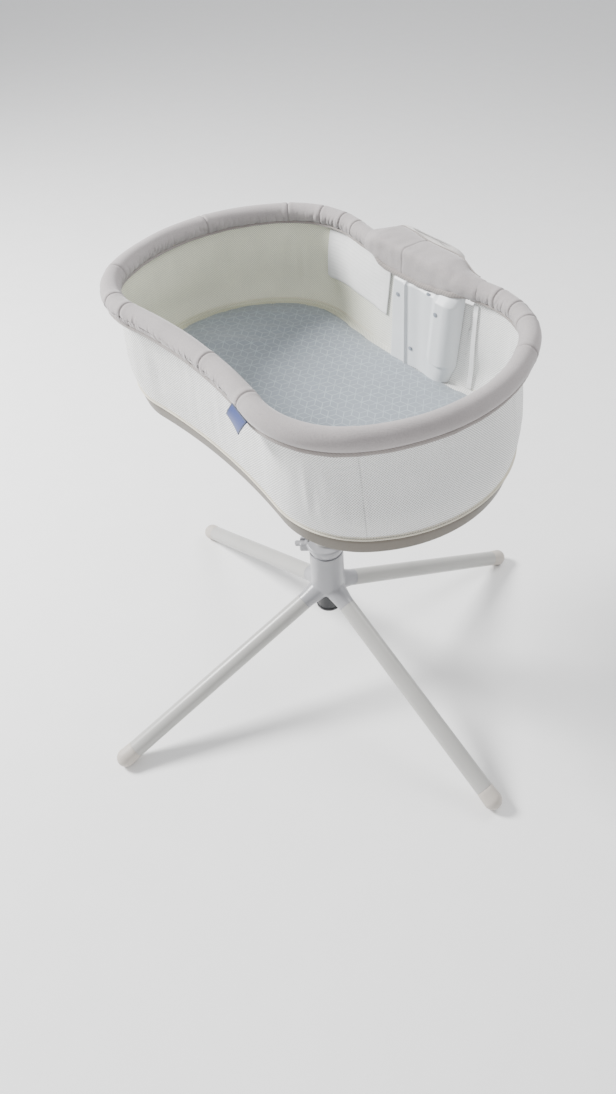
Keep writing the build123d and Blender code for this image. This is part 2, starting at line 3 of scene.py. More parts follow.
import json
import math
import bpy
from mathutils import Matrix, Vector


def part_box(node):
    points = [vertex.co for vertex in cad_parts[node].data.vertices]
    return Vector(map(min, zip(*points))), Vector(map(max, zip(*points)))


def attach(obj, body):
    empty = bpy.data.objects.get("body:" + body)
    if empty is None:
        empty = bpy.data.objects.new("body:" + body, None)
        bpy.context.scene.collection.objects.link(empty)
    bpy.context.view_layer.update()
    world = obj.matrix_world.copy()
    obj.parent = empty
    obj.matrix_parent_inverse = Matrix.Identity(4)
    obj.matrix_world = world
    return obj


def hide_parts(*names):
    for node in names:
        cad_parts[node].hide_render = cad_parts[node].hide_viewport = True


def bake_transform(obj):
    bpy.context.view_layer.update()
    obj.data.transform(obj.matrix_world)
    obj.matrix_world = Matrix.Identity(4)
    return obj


bl_info = {
    "name": "Bassinet on Stand",
    "version": (1, 0, 0),
    "blender": (4, 5, 0),
    "location": "3D View > Sidebar > Bassinet",
    "description": "Builds the fabric, mouldings and finishes of a swivel bassinet round its frame",
    "category": "Add Mesh",
}

import bmesh
import bpy
from bpy.props import FloatProperty, FloatVectorProperty, IntProperty, PointerProperty
from mathutils import Matrix, Vector, noise

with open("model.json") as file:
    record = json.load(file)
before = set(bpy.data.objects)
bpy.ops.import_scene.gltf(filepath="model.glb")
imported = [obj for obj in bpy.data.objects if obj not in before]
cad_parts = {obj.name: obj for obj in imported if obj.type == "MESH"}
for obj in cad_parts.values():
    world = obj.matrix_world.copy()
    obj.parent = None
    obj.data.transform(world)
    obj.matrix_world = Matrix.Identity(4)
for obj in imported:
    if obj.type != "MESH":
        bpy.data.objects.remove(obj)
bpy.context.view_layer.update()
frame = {"nodes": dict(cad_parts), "record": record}

MM = 0.001
TAU = 2 * math.pi
WAVE = TAU / 20                     # scale of a wave texture with a period of one metre

# Stand, in metres and degrees: the driving dimensions that the frame is built from.
LEG_ANGLES = (0, 82, 180, 262)
LEG_RADIUS = 0.021
LEG_ROOT_Z = 0.292
LEG_END = 0.553
SOCKET_END = 0.072
FOOT_REACH = 0.580
FOOT_RADIUS = 0.0225
SOLE_RADIUS = 0.013
SOLE_TOP = 0.0035
HUB_RADIUS = 0.041
MID_RADIUS = 0.0272
SLEEVE_RADIUS = 0.031
LEVER_ANGLE = 229

# Rail and tower, in metres.
RAIL_Z = 1.071
HINGE_END_X = (-0.095, 0.168)       # where the rail cover ends under the saddle
PANEL_FOOT = (0.2185, 0.8535)       # y and z of the inner panel's face at its bottom edge
PANEL_HEAD = (0.2335, 1.0355)

# Plan outlines in metres: end reach, end radius, end half angle in degrees, shoulder radius, and half
# width at the waist.
RAIL_PLAN = (0.421, 0.3537, 34.2, 0.1699, 0.2524)
TRAY_PLAN = (0.4348, 0.297, 39.15, 0.1804, 0.2374)

# Places of the cross seams on the rail, as (x, y) in metres.
SEAMS = (
    (-0.199, -0.268), (0.038, -0.257), (0.172, -0.270), (0.378, 0.164), (0.313, 0.236), (0.272, 0.256),
    (0.224, 0.266), (-0.180, 0.262), (-0.226, 0.263), (-0.282, 0.252), (-0.350, 0.212), (-0.414, 0.035),
    (-0.353, -0.220), (-0.247, -0.262),
)

# Middle of the crease in the sheet.
FOLD_MIDDLE = (-0.275, -0.030)

# Snap heads on the inner panel, as (x, z).
SNAP_POINTS = ((-0.009, 1.000), (0.074, 1.032), (0.108, 1.006), (0.040, 0.895))

# Corners of the side tab: top towards the head, top towards the foot, then the two below.
TAB_CORNERS = (
    (0.154, -0.2845, 1.067), (0.2085, -0.2945, 1.065), (0.181, -0.297, 1.025), (0.140, -0.290, 1.041),
)

# Small puckers on the inner edge of the rail, where a stitch pulls the cover in.
PUCKERS = ((0.236, -0.268), (0.310, -0.240), (0.385, -0.150), (0.405, 0.090))


# ---------------------------------------------------------------- colours and settings
def srgb(code):
    """Linear colour, with alpha, of an sRGB hex value."""
    parts = [int(code[i:i + 2], 16) / 255 for i in (0, 2, 4)]
    return tuple(p / 12.92 if p <= 0.04045 else ((p + 0.055) / 1.055) ** 2.4 for p in parts) + (1.0,)


def colour(name, text, code):
    return FloatVectorProperty(name=name, description=text, default=srgb(code), size=4, subtype="COLOR",
                               min=0, max=1)


def length(name, text, value):
    return FloatProperty(name=name, description=text, default=value, unit="LENGTH", subtype="DISTANCE", min=0)


class BassinetColours(bpy.types.PropertyGroup):
    leg: colour("Leg", "Powder coat of the tube legs", "ABAAA6")
    hub: colour("Hub", "Moulded hub and collar", "97979A")
    cap: colour("Foot cap", "Moulded caps on the legs", "B9B2A9")
    sole: colour("Sole", "Rubber under the caps", "6E6258")
    black: colour("Black plastic", "Column end and upper collar", "222326")
    tray: colour("Tray", "Moulded tray below the mesh", "595144")
    mesh: colour("Mesh", "Outer face of the knitted walls", "F1F1EF")
    lining: colour("Lining", "Inner face of the knitted walls", "EDEDEA")
    # Painted shade: the darker, greener head-end lining tone stands in for the shaded space seen through the
    # mesh there.
    lining_head_shade: colour("Lining at the head", "Warmer lining at the head end", "D9DAC0")
    rail: colour("Rail cover", "Sewn cover of the padded rail", "A8A2A1")
    back: colour("Tower back", "Pale cover behind the hinge", "D2CFCB")
    hem: colour("Hem", "Binding under the rail", "9B9490")
    piping: colour("Piping", "Cord on the rim of the tray", "E3DDCB")
    sheet: colour("Sheet", "Ground colour of the fitted sheet", "8F979F")
    print: colour("Sheet print", "Line pattern of the sheet", "A9B4BA")
    panel: colour("Panel", "Moulded inner panel of the tower", "D5D8DA")
    snap: colour("Snap", "Snap heads on the panel", "8E949D")
    steel: colour("Steel", "Zinc-plated screws, pins and springs", "B9BBBD")
    board: colour("Board", "Hardboard under the mattress", "9A7A55")
    label: colour("Label", "Blank sewn label and tape", "EDEDEC")
    tab: colour("Tab", "Woven tab on the near side", "062A70")
    tab_edge: colour("Tab edge", "Edge of the woven tab", "14284F")
    floor: colour("Floor", "Floor under the bassinet", "F7F7F6")


class BassinetSizes(bpy.types.PropertyGroup):
    rail_radius: length("Rail radius", "Outside of the padded rail", 0.020)
    seam_depth: length("Seam depth", "How far a cross seam pulls the cover in", 3.2 * MM)
    gather_depth: length("Gather depth", "Depth of the gathers beside the hem", 2.3 * MM)
    wall_thickness: length("Wall thickness", "Thickness of the knitted wall", 0.7 * MM)
    wall_bulge: length("Wall bulge", "How far the wall stands out above the tray", 8 * MM)
    sheet_rise: length("Sheet rise", "Most that the padding may swell the sheet", 5 * MM)
    mesh_pitch: length("Mesh pitch", "Drawn spacing of the mesh holes, coarser than the real 1.5 mm",
                       5.0 * MM)
    print_pitch: length("Print pitch", "Width of one cell of the sheet's print", 31 * MM)
    rail_steps: IntProperty(name="Rail steps", description="Stations along the rail cover", default=1900,
                            min=200)


def settings():
    scene = bpy.context.scene
    return scene.bassinet_colours, scene.bassinet_sizes


# ---------------------------------------------------------------- material helpers
def blank(name):
    """Empty node material and its tree."""
    material = bpy.data.materials.new(name)
    material.use_nodes = True
    material.node_tree.nodes.clear()
    return material, material.node_tree


def add(tree, kind, inputs=None, output=0, **options):
    """Adds a node with its options, fills or links its inputs, and returns one of its outputs."""
    made = tree.nodes.new(kind)
    for key, value in options.items():
        setattr(made, key, value)
    for socket, value in (inputs or {}).items():
        if isinstance(value, bpy.types.NodeSocket):
            tree.links.new(value, made.inputs[socket])
        else:
            made.inputs[socket].default_value = value
    return made.outputs[output] if made.outputs else made


def shaded(material, tree, inputs):
    """Wires one Principled shader to the material's output."""
    surface = add(tree, "ShaderNodeBsdfPrincipled", inputs)
    add(tree, "ShaderNodeOutputMaterial", {"Surface": surface})
    return material


def tint(base, factor):
    """Colour made lighter or darker."""
    return tuple(min(1.0, c * factor) for c in base[:3]) + (1.0,)


def uneven(tree, where, base, size, spread):
    """Colour that drifts a little either side of its base, in blotches of a given size."""
    drift = add(tree, "ShaderNodeTexNoise", {"Vector": where, "Scale": 1 / size, "Detail": 3.0})
    drift = add(tree, "ShaderNodeMapRange", {"Value": drift, "From Min": 0.3, "From Max": 0.7})
    ends = {"Factor": drift, 6: tint(base, 1 - spread), 7: tint(base, 1 + spread)}
    return add(tree, "ShaderNodeMix", ends, output=2, data_type="RGBA")


# ---------------------------------------------------------------- materials
def hard_finish(name, base, roughness, grain, relief, spread=0.04, **extra):
    """Paint, moulded plastic or metal: slow drift of tone, fine grain, and gloss that follows the grain."""
    material, tree = blank(name)
    where = add(tree, "ShaderNodeTexCoord", output="Object")
    fine = add(tree, "ShaderNodeTexNoise", {"Vector": where, "Scale": 1 / grain, "Detail": 3.0})
    gloss = {"Value": fine, "From Min": 0.3, "From Max": 0.7, "To Min": roughness - 0.06,
             "To Max": roughness + 0.06}
    inputs = {
        "Base Color": uneven(tree, where, base, 90 * MM, spread),
        "Roughness": add(tree, "ShaderNodeMapRange", gloss),
        "Normal": add(tree, "ShaderNodeBump", {"Height": fine, "Distance": relief}),
    }
    inputs.update({key.replace("_", " ").title(): value for key, value in extra.items()})
    return shaded(material, tree, inputs)


def powder_coat(base):
    # Powder-coated steel tube: satin, with a faint orange peel about 1.5 mm across that softens the
    # highlight.
    return hard_finish("Powder-coated steel", base, 0.36, 1.5 * MM, 0.03 * MM, coat_weight=0.15,
                       coat_roughness=0.2)


def glossy_abs(base):
    # Injection-moulded ABS: smooth, with a slightly brighter highlight than the painted legs.
    return hard_finish("Moulded ABS hub", base, 0.34, 2.5 * MM, 0.015 * MM, coat_weight=0.2,
                       coat_roughness=0.15)


def foot_nylon(base):
    # Moulded nylon cap: a dry, warm off-white surface with fine spark-eroded grain.
    return hard_finish("Moulded nylon foot", base, 0.5, 0.9 * MM, 0.03 * MM)


def sole_rubber(base):
    # Thermoplastic rubber: almost without gloss, scuffed lighter in patches.
    return hard_finish("Thermoplastic rubber", base, 0.8, 1.2 * MM, 0.08 * MM, spread=0.15)


def black_nylon(base):
    # Glass-filled black nylon: even black with a soft, slightly mottled gloss.
    return hard_finish("Glass-filled black nylon", base, 0.42, 0.8 * MM, 0.03 * MM, spread=0.12)


def tray_polypropylene(base):
    # Moulded polypropylene: satin taupe with an eroded grain, softly mottled.
    return hard_finish("Moulded polypropylene tray", base, 0.45, 0.9 * MM, 0.04 * MM, spread=0.06)


def panel_polypropylene(base):
    # White polypropylene, polished: broad soft highlights along its ribs.
    return hard_finish("White polypropylene panel", base, 0.38, 2.0 * MM, 0.015 * MM, spread=0.02)


def acetal_snap(base):
    # Acetal snap head: blue-grey, smooth, with a soft highlight.
    return hard_finish("Moulded acetal snap", base, 0.35, 0.6 * MM, 0.02 * MM)


def plated_steel(base):
    # Bright zinc-plated steel on the hidden hardware.
    return hard_finish("Zinc-plated steel", base, 0.32, 0.8 * MM, 0.01 * MM, metallic=1.0)


def hidden_acetal(base):
    # Natural acetal bushes: waxy white with a low gloss.
    return hard_finish("Natural acetal", base, 0.4, 1.5 * MM, 0.01 * MM)


def pressed_hardboard(base):
    # Hardboard: pressed brown fibres about 3 mm long.
    return hard_finish("Pressed hardboard", base, 0.75, 3.0 * MM, 0.1 * MM, spread=0.2)


def brushed_twill(name, base, sheen):
    """Brushed polyester twill: fine diagonal threads, soft fuzz at the edges and an uneven dye."""
    # Threads are 0.4 mm apart on the real cloth and are drawn 1.6 mm apart, so that they show.
    material, tree = blank(name)
    where = add(tree, "ShaderNodeTexCoord", output="Object")
    turned = add(tree, "ShaderNodeMapping", {"Vector": where, "Rotation": (0.6, 0.5, 0.785)})
    rows = {"Vector": turned, "Scale": WAVE / (1.6 * MM), "Distortion": 2.0, "Detail": 1.0,
            "Detail Scale": 2.0}
    twill = add(tree, "ShaderNodeTexWave", rows, output="Fac")
    fuzz = add(tree, "ShaderNodeTexNoise", {"Vector": where, "Scale": 1 / (2.4 * MM), "Detail": 3.0})
    shadow = {"Value": fuzz, "From Min": 0.42, "From Max": 0.75, "To Min": 0.0, "To Max": 0.5}
    shadow = add(tree, "ShaderNodeMapRange", shadow)
    dyed = uneven(tree, where, base, 70 * MM, 0.06)
    tone = add(tree, "ShaderNodeMix", {"Factor": shadow, 6: dyed, 7: tint(base, 0.74)}, output=2,
               data_type="RGBA")
    relief = add(tree, "ShaderNodeMath", {0: twill, 1: 0.5, 2: fuzz}, operation="MULTIPLY_ADD")
    return shaded(material, tree, {
        "Base Color": tone, "Roughness": 0.86, "Sheen Weight": sheen, "Sheen Roughness": 0.4,
        "Specular IOR Level": 0.25, "Normal": add(tree, "ShaderNodeBump",
                                                  {"Height": relief, "Distance": 0.2 * MM}),
    })


def knitted_mesh(name, base, head, pitch, open_share):
    """Warp-knitted polyester mesh: staggered small holes between soft yarns that let some light through, with
    painted shade in the holes and a painted shade tone towards the head end.
    """
    # Holes are 1.5 mm apart on the real cloth and are drawn coarser, so that they show.
    material, tree = blank(name)
    along = add(tree, "ShaderNodeUVMap", uv_map="UVMap")
    turned = add(tree, "ShaderNodeMapping", {"Vector": along, "Rotation": (0.0, 0.0, math.radians(45))})
    cells = {"Vector": turned, "Scale": 1.41 / pitch, "Randomness": 0.1}
    yarn = add(tree, "ShaderNodeTexVoronoi", cells, output="Distance", voronoi_dimensions="2D")
    hole = {"Value": yarn, "From Min": 0.22, "From Max": 0.42, "To Min": 1.0, "To Max": 0.0}
    hole = add(tree, "ShaderNodeMapRange", hole)
    where = add(tree, "ShaderNodeTexCoord", output="Object")
    # Painted shade: from x = 0.05 towards x = -0.25 the colour blends into the head tone, which stands in for
    # the shaded space seen through the mesh at the head end.
    end = add(tree, "ShaderNodeSeparateXYZ", {0: where})
    end = add(tree, "ShaderNodeMapRange", {"Value": end, "From Min": -0.25, "From Max": 0.05,
                                           "To Min": 1.0, "To Max": 0.0})
    cloth = {"Factor": end, 6: uneven(tree, where, base, 120 * MM, 0.03),
             7: uneven(tree, where, head, 90 * MM, 0.07)}
    cloth = add(tree, "ShaderNodeMix", cloth, output=2, data_type="RGBA")
    # Painted shade: the holes are darkened towards half the cloth's tone, standing in for the shade seen
    # through them; the alpha below is the real opening.
    tone = {"Factor": add(tree, "ShaderNodeMath", {0: hole, 1: 0.5}, operation="MULTIPLY"), 6: cloth,
            7: tint(base, 0.5)}
    cover = {"Value": hole, "To Min": 1.0, "To Max": 1.0 - open_share}
    return shaded(material, tree, {
        "Base Color": add(tree, "ShaderNodeMix", tone, output=2, data_type="RGBA"), "Roughness": 0.85,
        "Sheen Weight": 0.2, "Specular IOR Level": 0.2, "Alpha": add(tree, "ShaderNodeMapRange", cover),
        "Normal": add(tree, "ShaderNodeBump", {"Height": yarn, "Distance": 0.5 * MM}),
    })


def hexagon_lines(tree, where, pitch):
    """1 on the lines of a print of hexagons, each cut into three kites, and 0 between them."""
    scaled = add(tree, "ShaderNodeMapping", {"Vector": where, "Rotation": (0.0, 0.0, 0.3),
                                             "Scale": (1 / pitch, 1 / pitch, 0.0)})
    period = Vector((1.0, math.sqrt(3), 1.0))
    cells = []
    for shift in (Vector(), Vector((0.5, math.sqrt(3) / 2, 0.0))):
        moved = add(tree, "ShaderNodeVectorMath", {0: scaled, 1: shift}, operation="ADD")
        wrapped = add(tree, "ShaderNodeVectorMath", {0: moved, 1: period, 2: Vector()}, operation="WRAP")
        middle = add(tree, "ShaderNodeVectorMath", {0: wrapped, 1: -period / 2}, operation="ADD")
        cells.append(add(tree, "ShaderNodeVectorMath", {0: middle, 1: (1.0, 1.0, 0.0)}, operation="MULTIPLY"))
    far = [add(tree, "ShaderNodeVectorMath", {0: cell}, output="Value", operation="LENGTH") for cell in cells]
    second = add(tree, "ShaderNodeMath", {0: far[1], 1: far[0]}, operation="LESS_THAN")
    local = add(tree, "ShaderNodeMix", {"Factor": second, 4: cells[0], 5: cells[1]}, output=1,
                data_type="VECTOR")

    def reach(degrees):
        arm = (math.cos(math.radians(degrees)), math.sin(math.radians(degrees)), 0.0)
        return add(tree, "ShaderNodeVectorMath", {0: local, 1: arm}, output="Value", operation="DOT_PRODUCT")

    gap = 1.0
    for degrees in (0, 60, 120):
        side = add(tree, "ShaderNodeMath", {0: reach(degrees)}, operation="ABSOLUTE")
        side = add(tree, "ShaderNodeMath", {0: 0.5, 1: side}, operation="SUBTRACT")
        gap = add(tree, "ShaderNodeMath", {0: gap, 1: side}, operation="MINIMUM")
    for degrees in (90, 210, 330):
        side = add(tree, "ShaderNodeMath", {0: reach(degrees + 90)}, operation="ABSOLUTE")
        behind = add(tree, "ShaderNodeMath", {0: reach(degrees), 1: 0.0}, operation="LESS_THAN")
        spoke = add(tree, "ShaderNodeMath", {0: side, 1: behind}, operation="ADD")
        gap = add(tree, "ShaderNodeMath", {0: gap, 1: spoke}, operation="MINIMUM")
    line = {"Value": gap, "From Min": 0.015, "From Max": 0.04, "To Min": 1.0, "To Max": 0.0}
    return add(tree, "ShaderNodeMapRange", line)


def printed_jersey(base, line, pitch):
    """Cotton jersey sheet, blue-grey with a pale, slightly worn print."""
    # Knit loops are 0.5 mm on the real cloth and are drawn 1.6 mm across, so that they show.
    material, tree = blank("Printed cotton jersey")
    where = add(tree, "ShaderNodeTexCoord", output="Object")
    knit = add(tree, "ShaderNodeTexNoise", {"Vector": where, "Scale": 1 / (1.6 * MM), "Detail": 3.0})
    worn = add(tree, "ShaderNodeTexNoise", {"Vector": where, "Scale": 1 / (14 * MM), "Detail": 3.0})
    worn = {"Value": worn, "From Min": 0.3, "From Max": 0.65, "To Min": 0.4, "To Max": 1.0}
    ink = {0: hexagon_lines(tree, where, pitch), 1: add(tree, "ShaderNodeMapRange", worn)}
    ink = add(tree, "ShaderNodeMath", ink, operation="MULTIPLY")
    loops = add(tree, "ShaderNodeMapRange", {"Value": knit, "From Min": 0.4, "From Max": 0.8, "To Max": 0.45})
    cloth = {"Factor": loops, 6: uneven(tree, where, base, 120 * MM, 0.05), 7: tint(base, 0.8)}
    cloth = add(tree, "ShaderNodeMix", cloth, output=2, data_type="RGBA")
    return shaded(material, tree, {
        "Base Color": add(tree, "ShaderNodeMix", {"Factor": ink, 6: cloth, 7: line}, output=2,
                          data_type="RGBA"),
        "Roughness": 0.88, "Sheen Weight": 0.25, "Specular IOR Level": 0.2,
        "Normal": add(tree, "ShaderNodeBump", {"Height": knit, "Distance": 0.15 * MM}),
    })


def corded(name, base, strand):
    """Cotton piping or binding: slanting strands along the piece, soft and matt."""
    material, tree = blank(name)
    along = add(tree, "ShaderNodeUVMap", uv_map="UVMap")
    turned = add(tree, "ShaderNodeMapping", {"Vector": along, "Rotation": (0.0, 0.0, 0.7)})
    twist = add(tree, "ShaderNodeTexWave", {"Vector": turned, "Scale": WAVE / strand}, output="Fac")
    where = add(tree, "ShaderNodeTexCoord", output="Object")
    fibre = add(tree, "ShaderNodeTexNoise", {"Vector": where, "Scale": 1 / (2 * MM), "Detail": 3.0})
    tone = {"Factor": twist, 6: tint(base, 0.8), 7: uneven(tree, where, base, 40 * MM, 0.06)}
    height = add(tree, "ShaderNodeMath", {0: twist, 1: fibre}, operation="ADD")
    return shaded(material, tree, {
        "Base Color": add(tree, "ShaderNodeMix", tone, output=2, data_type="RGBA"), "Roughness": 0.85,
        "Sheen Weight": 0.2, "Specular IOR Level": 0.2,
        "Normal": add(tree, "ShaderNodeBump", {"Height": height, "Distance": 0.3 * MM}),
    })


def satin_label(name, base, border, ruled):
    """Woven satin tape: a faint weave, an edge of another tone, and blank ruled rows where asked for."""
    material, tree = blank(name)
    along = add(tree, "ShaderNodeUVMap", uv_map="Share")
    split = add(tree, "ShaderNodeSeparateXYZ", {0: along}).node.outputs
    rim = 1.0
    for axis in (0, 1):
        other = add(tree, "ShaderNodeMath", {0: 1.0, 1: split[axis]}, operation="SUBTRACT")
        rim = add(tree, "ShaderNodeMath", {0: rim, 1: split[axis]}, operation="MINIMUM")
        rim = add(tree, "ShaderNodeMath", {0: rim, 1: other}, operation="MINIMUM")
    edge = {"Value": rim, "From Min": 0.05, "From Max": 0.08, "To Min": 1.0, "To Max": 0.0}
    edge = add(tree, "ShaderNodeMapRange", edge)
    where = add(tree, "ShaderNodeTexCoord", output="Object")
    weave = add(tree, "ShaderNodeTexNoise", {"Vector": where, "Scale": 1 / (1.5 * MM), "Detail": 2.0})
    tone = uneven(tree, where, base, 30 * MM, 0.04)
    if ruled:
        rows = add(tree, "ShaderNodeTexWave", {"Vector": along, "Scale": 4.0}, output="Fac",
                   bands_direction="Y")
        rows = add(tree, "ShaderNodeMapRange",
                   {"Value": rows, "From Min": 0.7, "From Max": 0.95, "To Max": 0.3})
        tone = {"Factor": rows, 6: tone, 7: tint(base, 0.75)}
        tone = add(tree, "ShaderNodeMix", tone, output=2, data_type="RGBA")
    return shaded(material, tree, {
        "Base Color": add(tree, "ShaderNodeMix", {"Factor": edge, 6: tone, 7: border}, output=2,
                          data_type="RGBA"),
        "Roughness": 0.6, "Sheen Weight": 0.2,
        "Normal": add(tree, "ShaderNodeBump", {"Height": weave, "Distance": 0.12 * MM}),
    })


def finish(slot):
    """Material of a record slot, made the first time that it is asked for."""
    c, s = settings()
    makers = {
        "leg_paint": (powder_coat, c.leg),
        "hub_casting": (glossy_abs, c.hub),
        "cap_plastic": (foot_nylon, c.cap),
        "sole_rubber": (sole_rubber, c.sole),
        "black_plastic": (black_nylon, c.black),
        "tube_paint": (powder_coat, c.leg),
        "glide_plastic": (hidden_acetal, c.panel),
        "bare_steel": (plated_steel, c.steel),
        "frame_paint": (powder_coat, c.leg),
        "tray_plastic": (tray_polypropylene, c.tray),
        "hinge_plastic": (black_nylon, c.black),
        "panel_plastic": (panel_polypropylene, c.panel),
        "snap_plastic": (acetal_snap, c.snap),
        "board_wood": (pressed_hardboard, c.board),
        "sheet_fabric": (printed_jersey, c.sheet, c.print, s.print_pitch),
        "piping_fabric": (corded, "Cotton piping", c.piping, 3 * MM),
        "mesh_fabric": (knitted_mesh, "White knitted mesh", c.mesh, c.mesh, s.mesh_pitch, 0.55),
        # The lining's head-end tone is painted shade; the outer mesh gets its own colour at both ends.
        "lining_fabric": (knitted_mesh, "Lining of knitted mesh", c.lining, c.lining_head_shade, s.mesh_pitch,
                          0.35),
        "label_fabric": (satin_label, "Blank satin label", c.label, tint(c.label, 0.9), True),
        "tape_fabric": (satin_label, "Satin tape", c.label, tint(c.label, 0.9), False),
        "rail_fabric": (brushed_twill, "Brushed polyester twill", c.rail, 0.4),
        "pale_fabric": (brushed_twill, "Pale brushed twill", c.back, 0.3),
        "binding_fabric": (corded, "Elastic binding", c.hem, 4 * MM),
        "tab_fabric": (satin_label, "Blank woven tab", c.tab, c.tab_edge, False),
    }
    maker, *values = makers[slot]
    key = "finish_" + slot
    if key not in bpy.context.scene:
        bpy.context.scene[key] = maker(*values).name
    return bpy.data.materials[bpy.context.scene[key]]


# ---------------------------------------------------------------- geometry helpers
class Outline:
    """Closed plan outline of eight arcs, and the outward direction along it."""

    def __init__(self, plan):
        reach, end_radius, end_angle, shoulder_radius, waist = plan
        turn = math.radians(end_angle)
        gap = end_radius - shoulder_radius
        side = Vector((reach - end_radius + gap * math.cos(turn), gap * math.sin(turn)))
        rise = shoulder_radius + side.y - waist
        hollow = (side.x ** 2 + (waist - side.y) ** 2 - shoulder_radius ** 2) / (2 * rise)
        meet = math.atan2(waist + hollow - side.y, -side.x)
        self.arcs = []
        for flip in (0.0, math.pi):
            way = 1 if flip == 0 else -1
            centre = Vector((way * (reach - end_radius), 0))
            self.arcs.append((centre, end_radius, flip - turn, flip + turn, 1))
            self.arcs.append((side * way, shoulder_radius, flip + turn, flip + meet, 1))
            self.arcs.append((Vector((0, way * (waist + hollow))), hollow, flip + meet - math.pi,
                              flip - meet, -1))
            back = Vector((-side.x, side.y)) * way
            self.arcs.append((back, shoulder_radius, flip + math.pi - meet, flip + math.pi - turn, 1))
        self.lengths = [abs(b - a) * radius for _, radius, a, b, _ in self.arcs]
        self.total = sum(self.lengths)

    def at(self, share):
        """Point and outward direction at a share of the way round, by the rail's arc lengths."""
        left = (share % 1.0) * RAIL_LENGTH
        for index, long in enumerate(RAIL_ARCS):
            if left <= long or index == len(RAIL_ARCS) - 1:
                break
            left -= long
        centre, radius, start, end, way = self.arcs[index]
        angle = start + (end - start) * min(1.0, left / long)
        out = Vector((math.cos(angle), math.sin(angle)))
        return centre + out * radius, out * way


RAIL_ARCS = Outline(RAIL_PLAN).lengths
RAIL_LENGTH = sum(RAIL_ARCS)
RAIL = Outline(RAIL_PLAN)
TRAY = Outline(TRAY_PLAN)


def nearest_share(x, y):
    """Share of the way round the rail that lies nearest to a point."""
    goal = Vector((x, y))
    return min((i / 4000 for i in range(4000)), key=lambda share: (RAIL.at(share)[0] - goal).length)


RAIL_ENDS = (nearest_share(HINGE_END_X[1], 0.262), nearest_share(HINGE_END_X[0], 0.256))


def smooth(value, low, high):
    """0 below low, 1 above high, eased between."""
    t = min(1.0, max(0.0, (value - low) / (high - low)))
    return t * t * (3 - 2 * t)


def bell(value, centre, width):
    """Rounded hump of height 1."""
    return math.exp(-((value - centre) / width) ** 2)


def surface(place, across, along, size):
    """Grid whose points go where place(u, v) says, with a UV map in metres. u and v run from 0 to 1."""
    bm = bmesh.new()
    layer = bm.loops.layers.uv.new("UVMap")
    bmesh.ops.create_grid(bm, x_segments=across, y_segments=along, size=0.5, calc_uvs=True)
    for face in bm.faces:
        for loop in face.loops:
            u, v = loop.vert.co.x + 0.5, loop.vert.co.y + 0.5
            loop[layer].uv = (u * size[0], v * size[1])
    for vert in bm.verts:
        vert.co = place(vert.co.x + 0.5, vert.co.y + 0.5)
    return bm


def close_up(bm, gap=0.02 * MM):
    """Merges meeting edges, fills what is left open and turns the faces outwards."""
    bmesh.ops.remove_doubles(bm, verts=bm.verts, dist=gap)
    edges = [edge for edge in bm.edges if edge.is_boundary]
    if edges:
        bmesh.ops.holes_fill(bm, edges=edges, sides=0)
    bmesh.ops.recalc_face_normals(bm, faces=bm.faces)
    return bm


def piece(name, bm, material, body, stands_for=(), flat_angle=None):
    """Mesh object at the origin from a bmesh, riding on a body."""
    mesh = bpy.data.meshes.new(name)
    bm.to_mesh(mesh)
    bm.free()
    made = bpy.data.objects.new(name, mesh)
    bpy.context.scene.collection.objects.link(made)
    mesh.materials.append(material)
    if flat_angle is None:
        mesh.shade_smooth()
    else:
        mesh.set_sharp_from_angle(angle=math.radians(flat_angle))
        for polygon in mesh.polygons:
            polygon.use_smooth = True
    if body:
        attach(made, body)
    if stands_for:
        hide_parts(*stands_for)
    return made


def apply_modifiers(made):
    """Makes a piece's modifiers part of its mesh."""
    bpy.context.view_layer.update()
    shape = made.evaluated_get(bpy.context.evaluated_depsgraph_get())
    mesh = bpy.data.meshes.new_from_object(shape)
    made.modifiers.clear()
    made.data = mesh


def tube_along(points, radius, sides=10, closed=False, squash=1.0):
    """Round or oval bar along points that turn gently. Its UV map is in metres."""
    count = len(points)
    total = sum((points[i + 1] - points[i]).length for i in range(count - 1))

    def place(u, v):
        index = round(v * (count - (0 if closed else 1)))
        here = points[index % count]
        ahead = points[(index + 1) % count] if closed or index < count - 1 else here * 2 - points[index - 1]
        behind = points[index - 1] if closed or index > 0 else here * 2 - points[1]
        forward = (ahead - behind).normalized()
        side = forward.cross(Vector((0, 0, 1))).normalized()
        rise = side.cross(forward)
        turn = u * TAU
        return here + side * (radius * math.cos(turn)) + rise * (radius * squash * math.sin(turn))

    steps = count if closed else count - 1
    return close_up(surface(place, sides, steps, (TAU * radius, total)))


def spun(profile, axis_place, steps=48):
    """Solid of revolution from (distance along, radius) pairs, put in place by a matrix."""
    bm = bmesh.new()
    verts = [bm.verts.new((radius, 0, along)) for along, radius in profile]
    edges = [bm.edges.new(pair) for pair in zip(verts, verts[1:])]
    bmesh.ops.spin(bm, geom=verts + edges, cent=(0, 0, 0), axis=(0, 0, 1), angle=TAU, steps=steps,
                   use_merge=True)
    close_up(bm)
    bmesh.ops.transform(bm, matrix=axis_place, verts=bm.verts)
    return bm


def rounded_box(low, high, radius, turn=0.0):
    """Box with all edges rounded, turned about the post axis."""
    low, high = Vector(low), Vector(high)
    bm = bmesh.new()
    bmesh.ops.create_cube(bm, size=1.0)
    bmesh.ops.scale(bm, vec=high - low, verts=bm.verts)
    bmesh.ops.translate(bm, vec=(high + low) / 2, verts=bm.verts)
    bmesh.ops.bevel(bm, geom=bm.edges, offset=radius, segments=4, profile=0.5, affect="EDGES", material=-1)
    bmesh.ops.rotate(bm, cent=(0, 0, 0), matrix=Matrix.Rotation(turn, 3, "Z"), verts=bm.verts)
    return bm


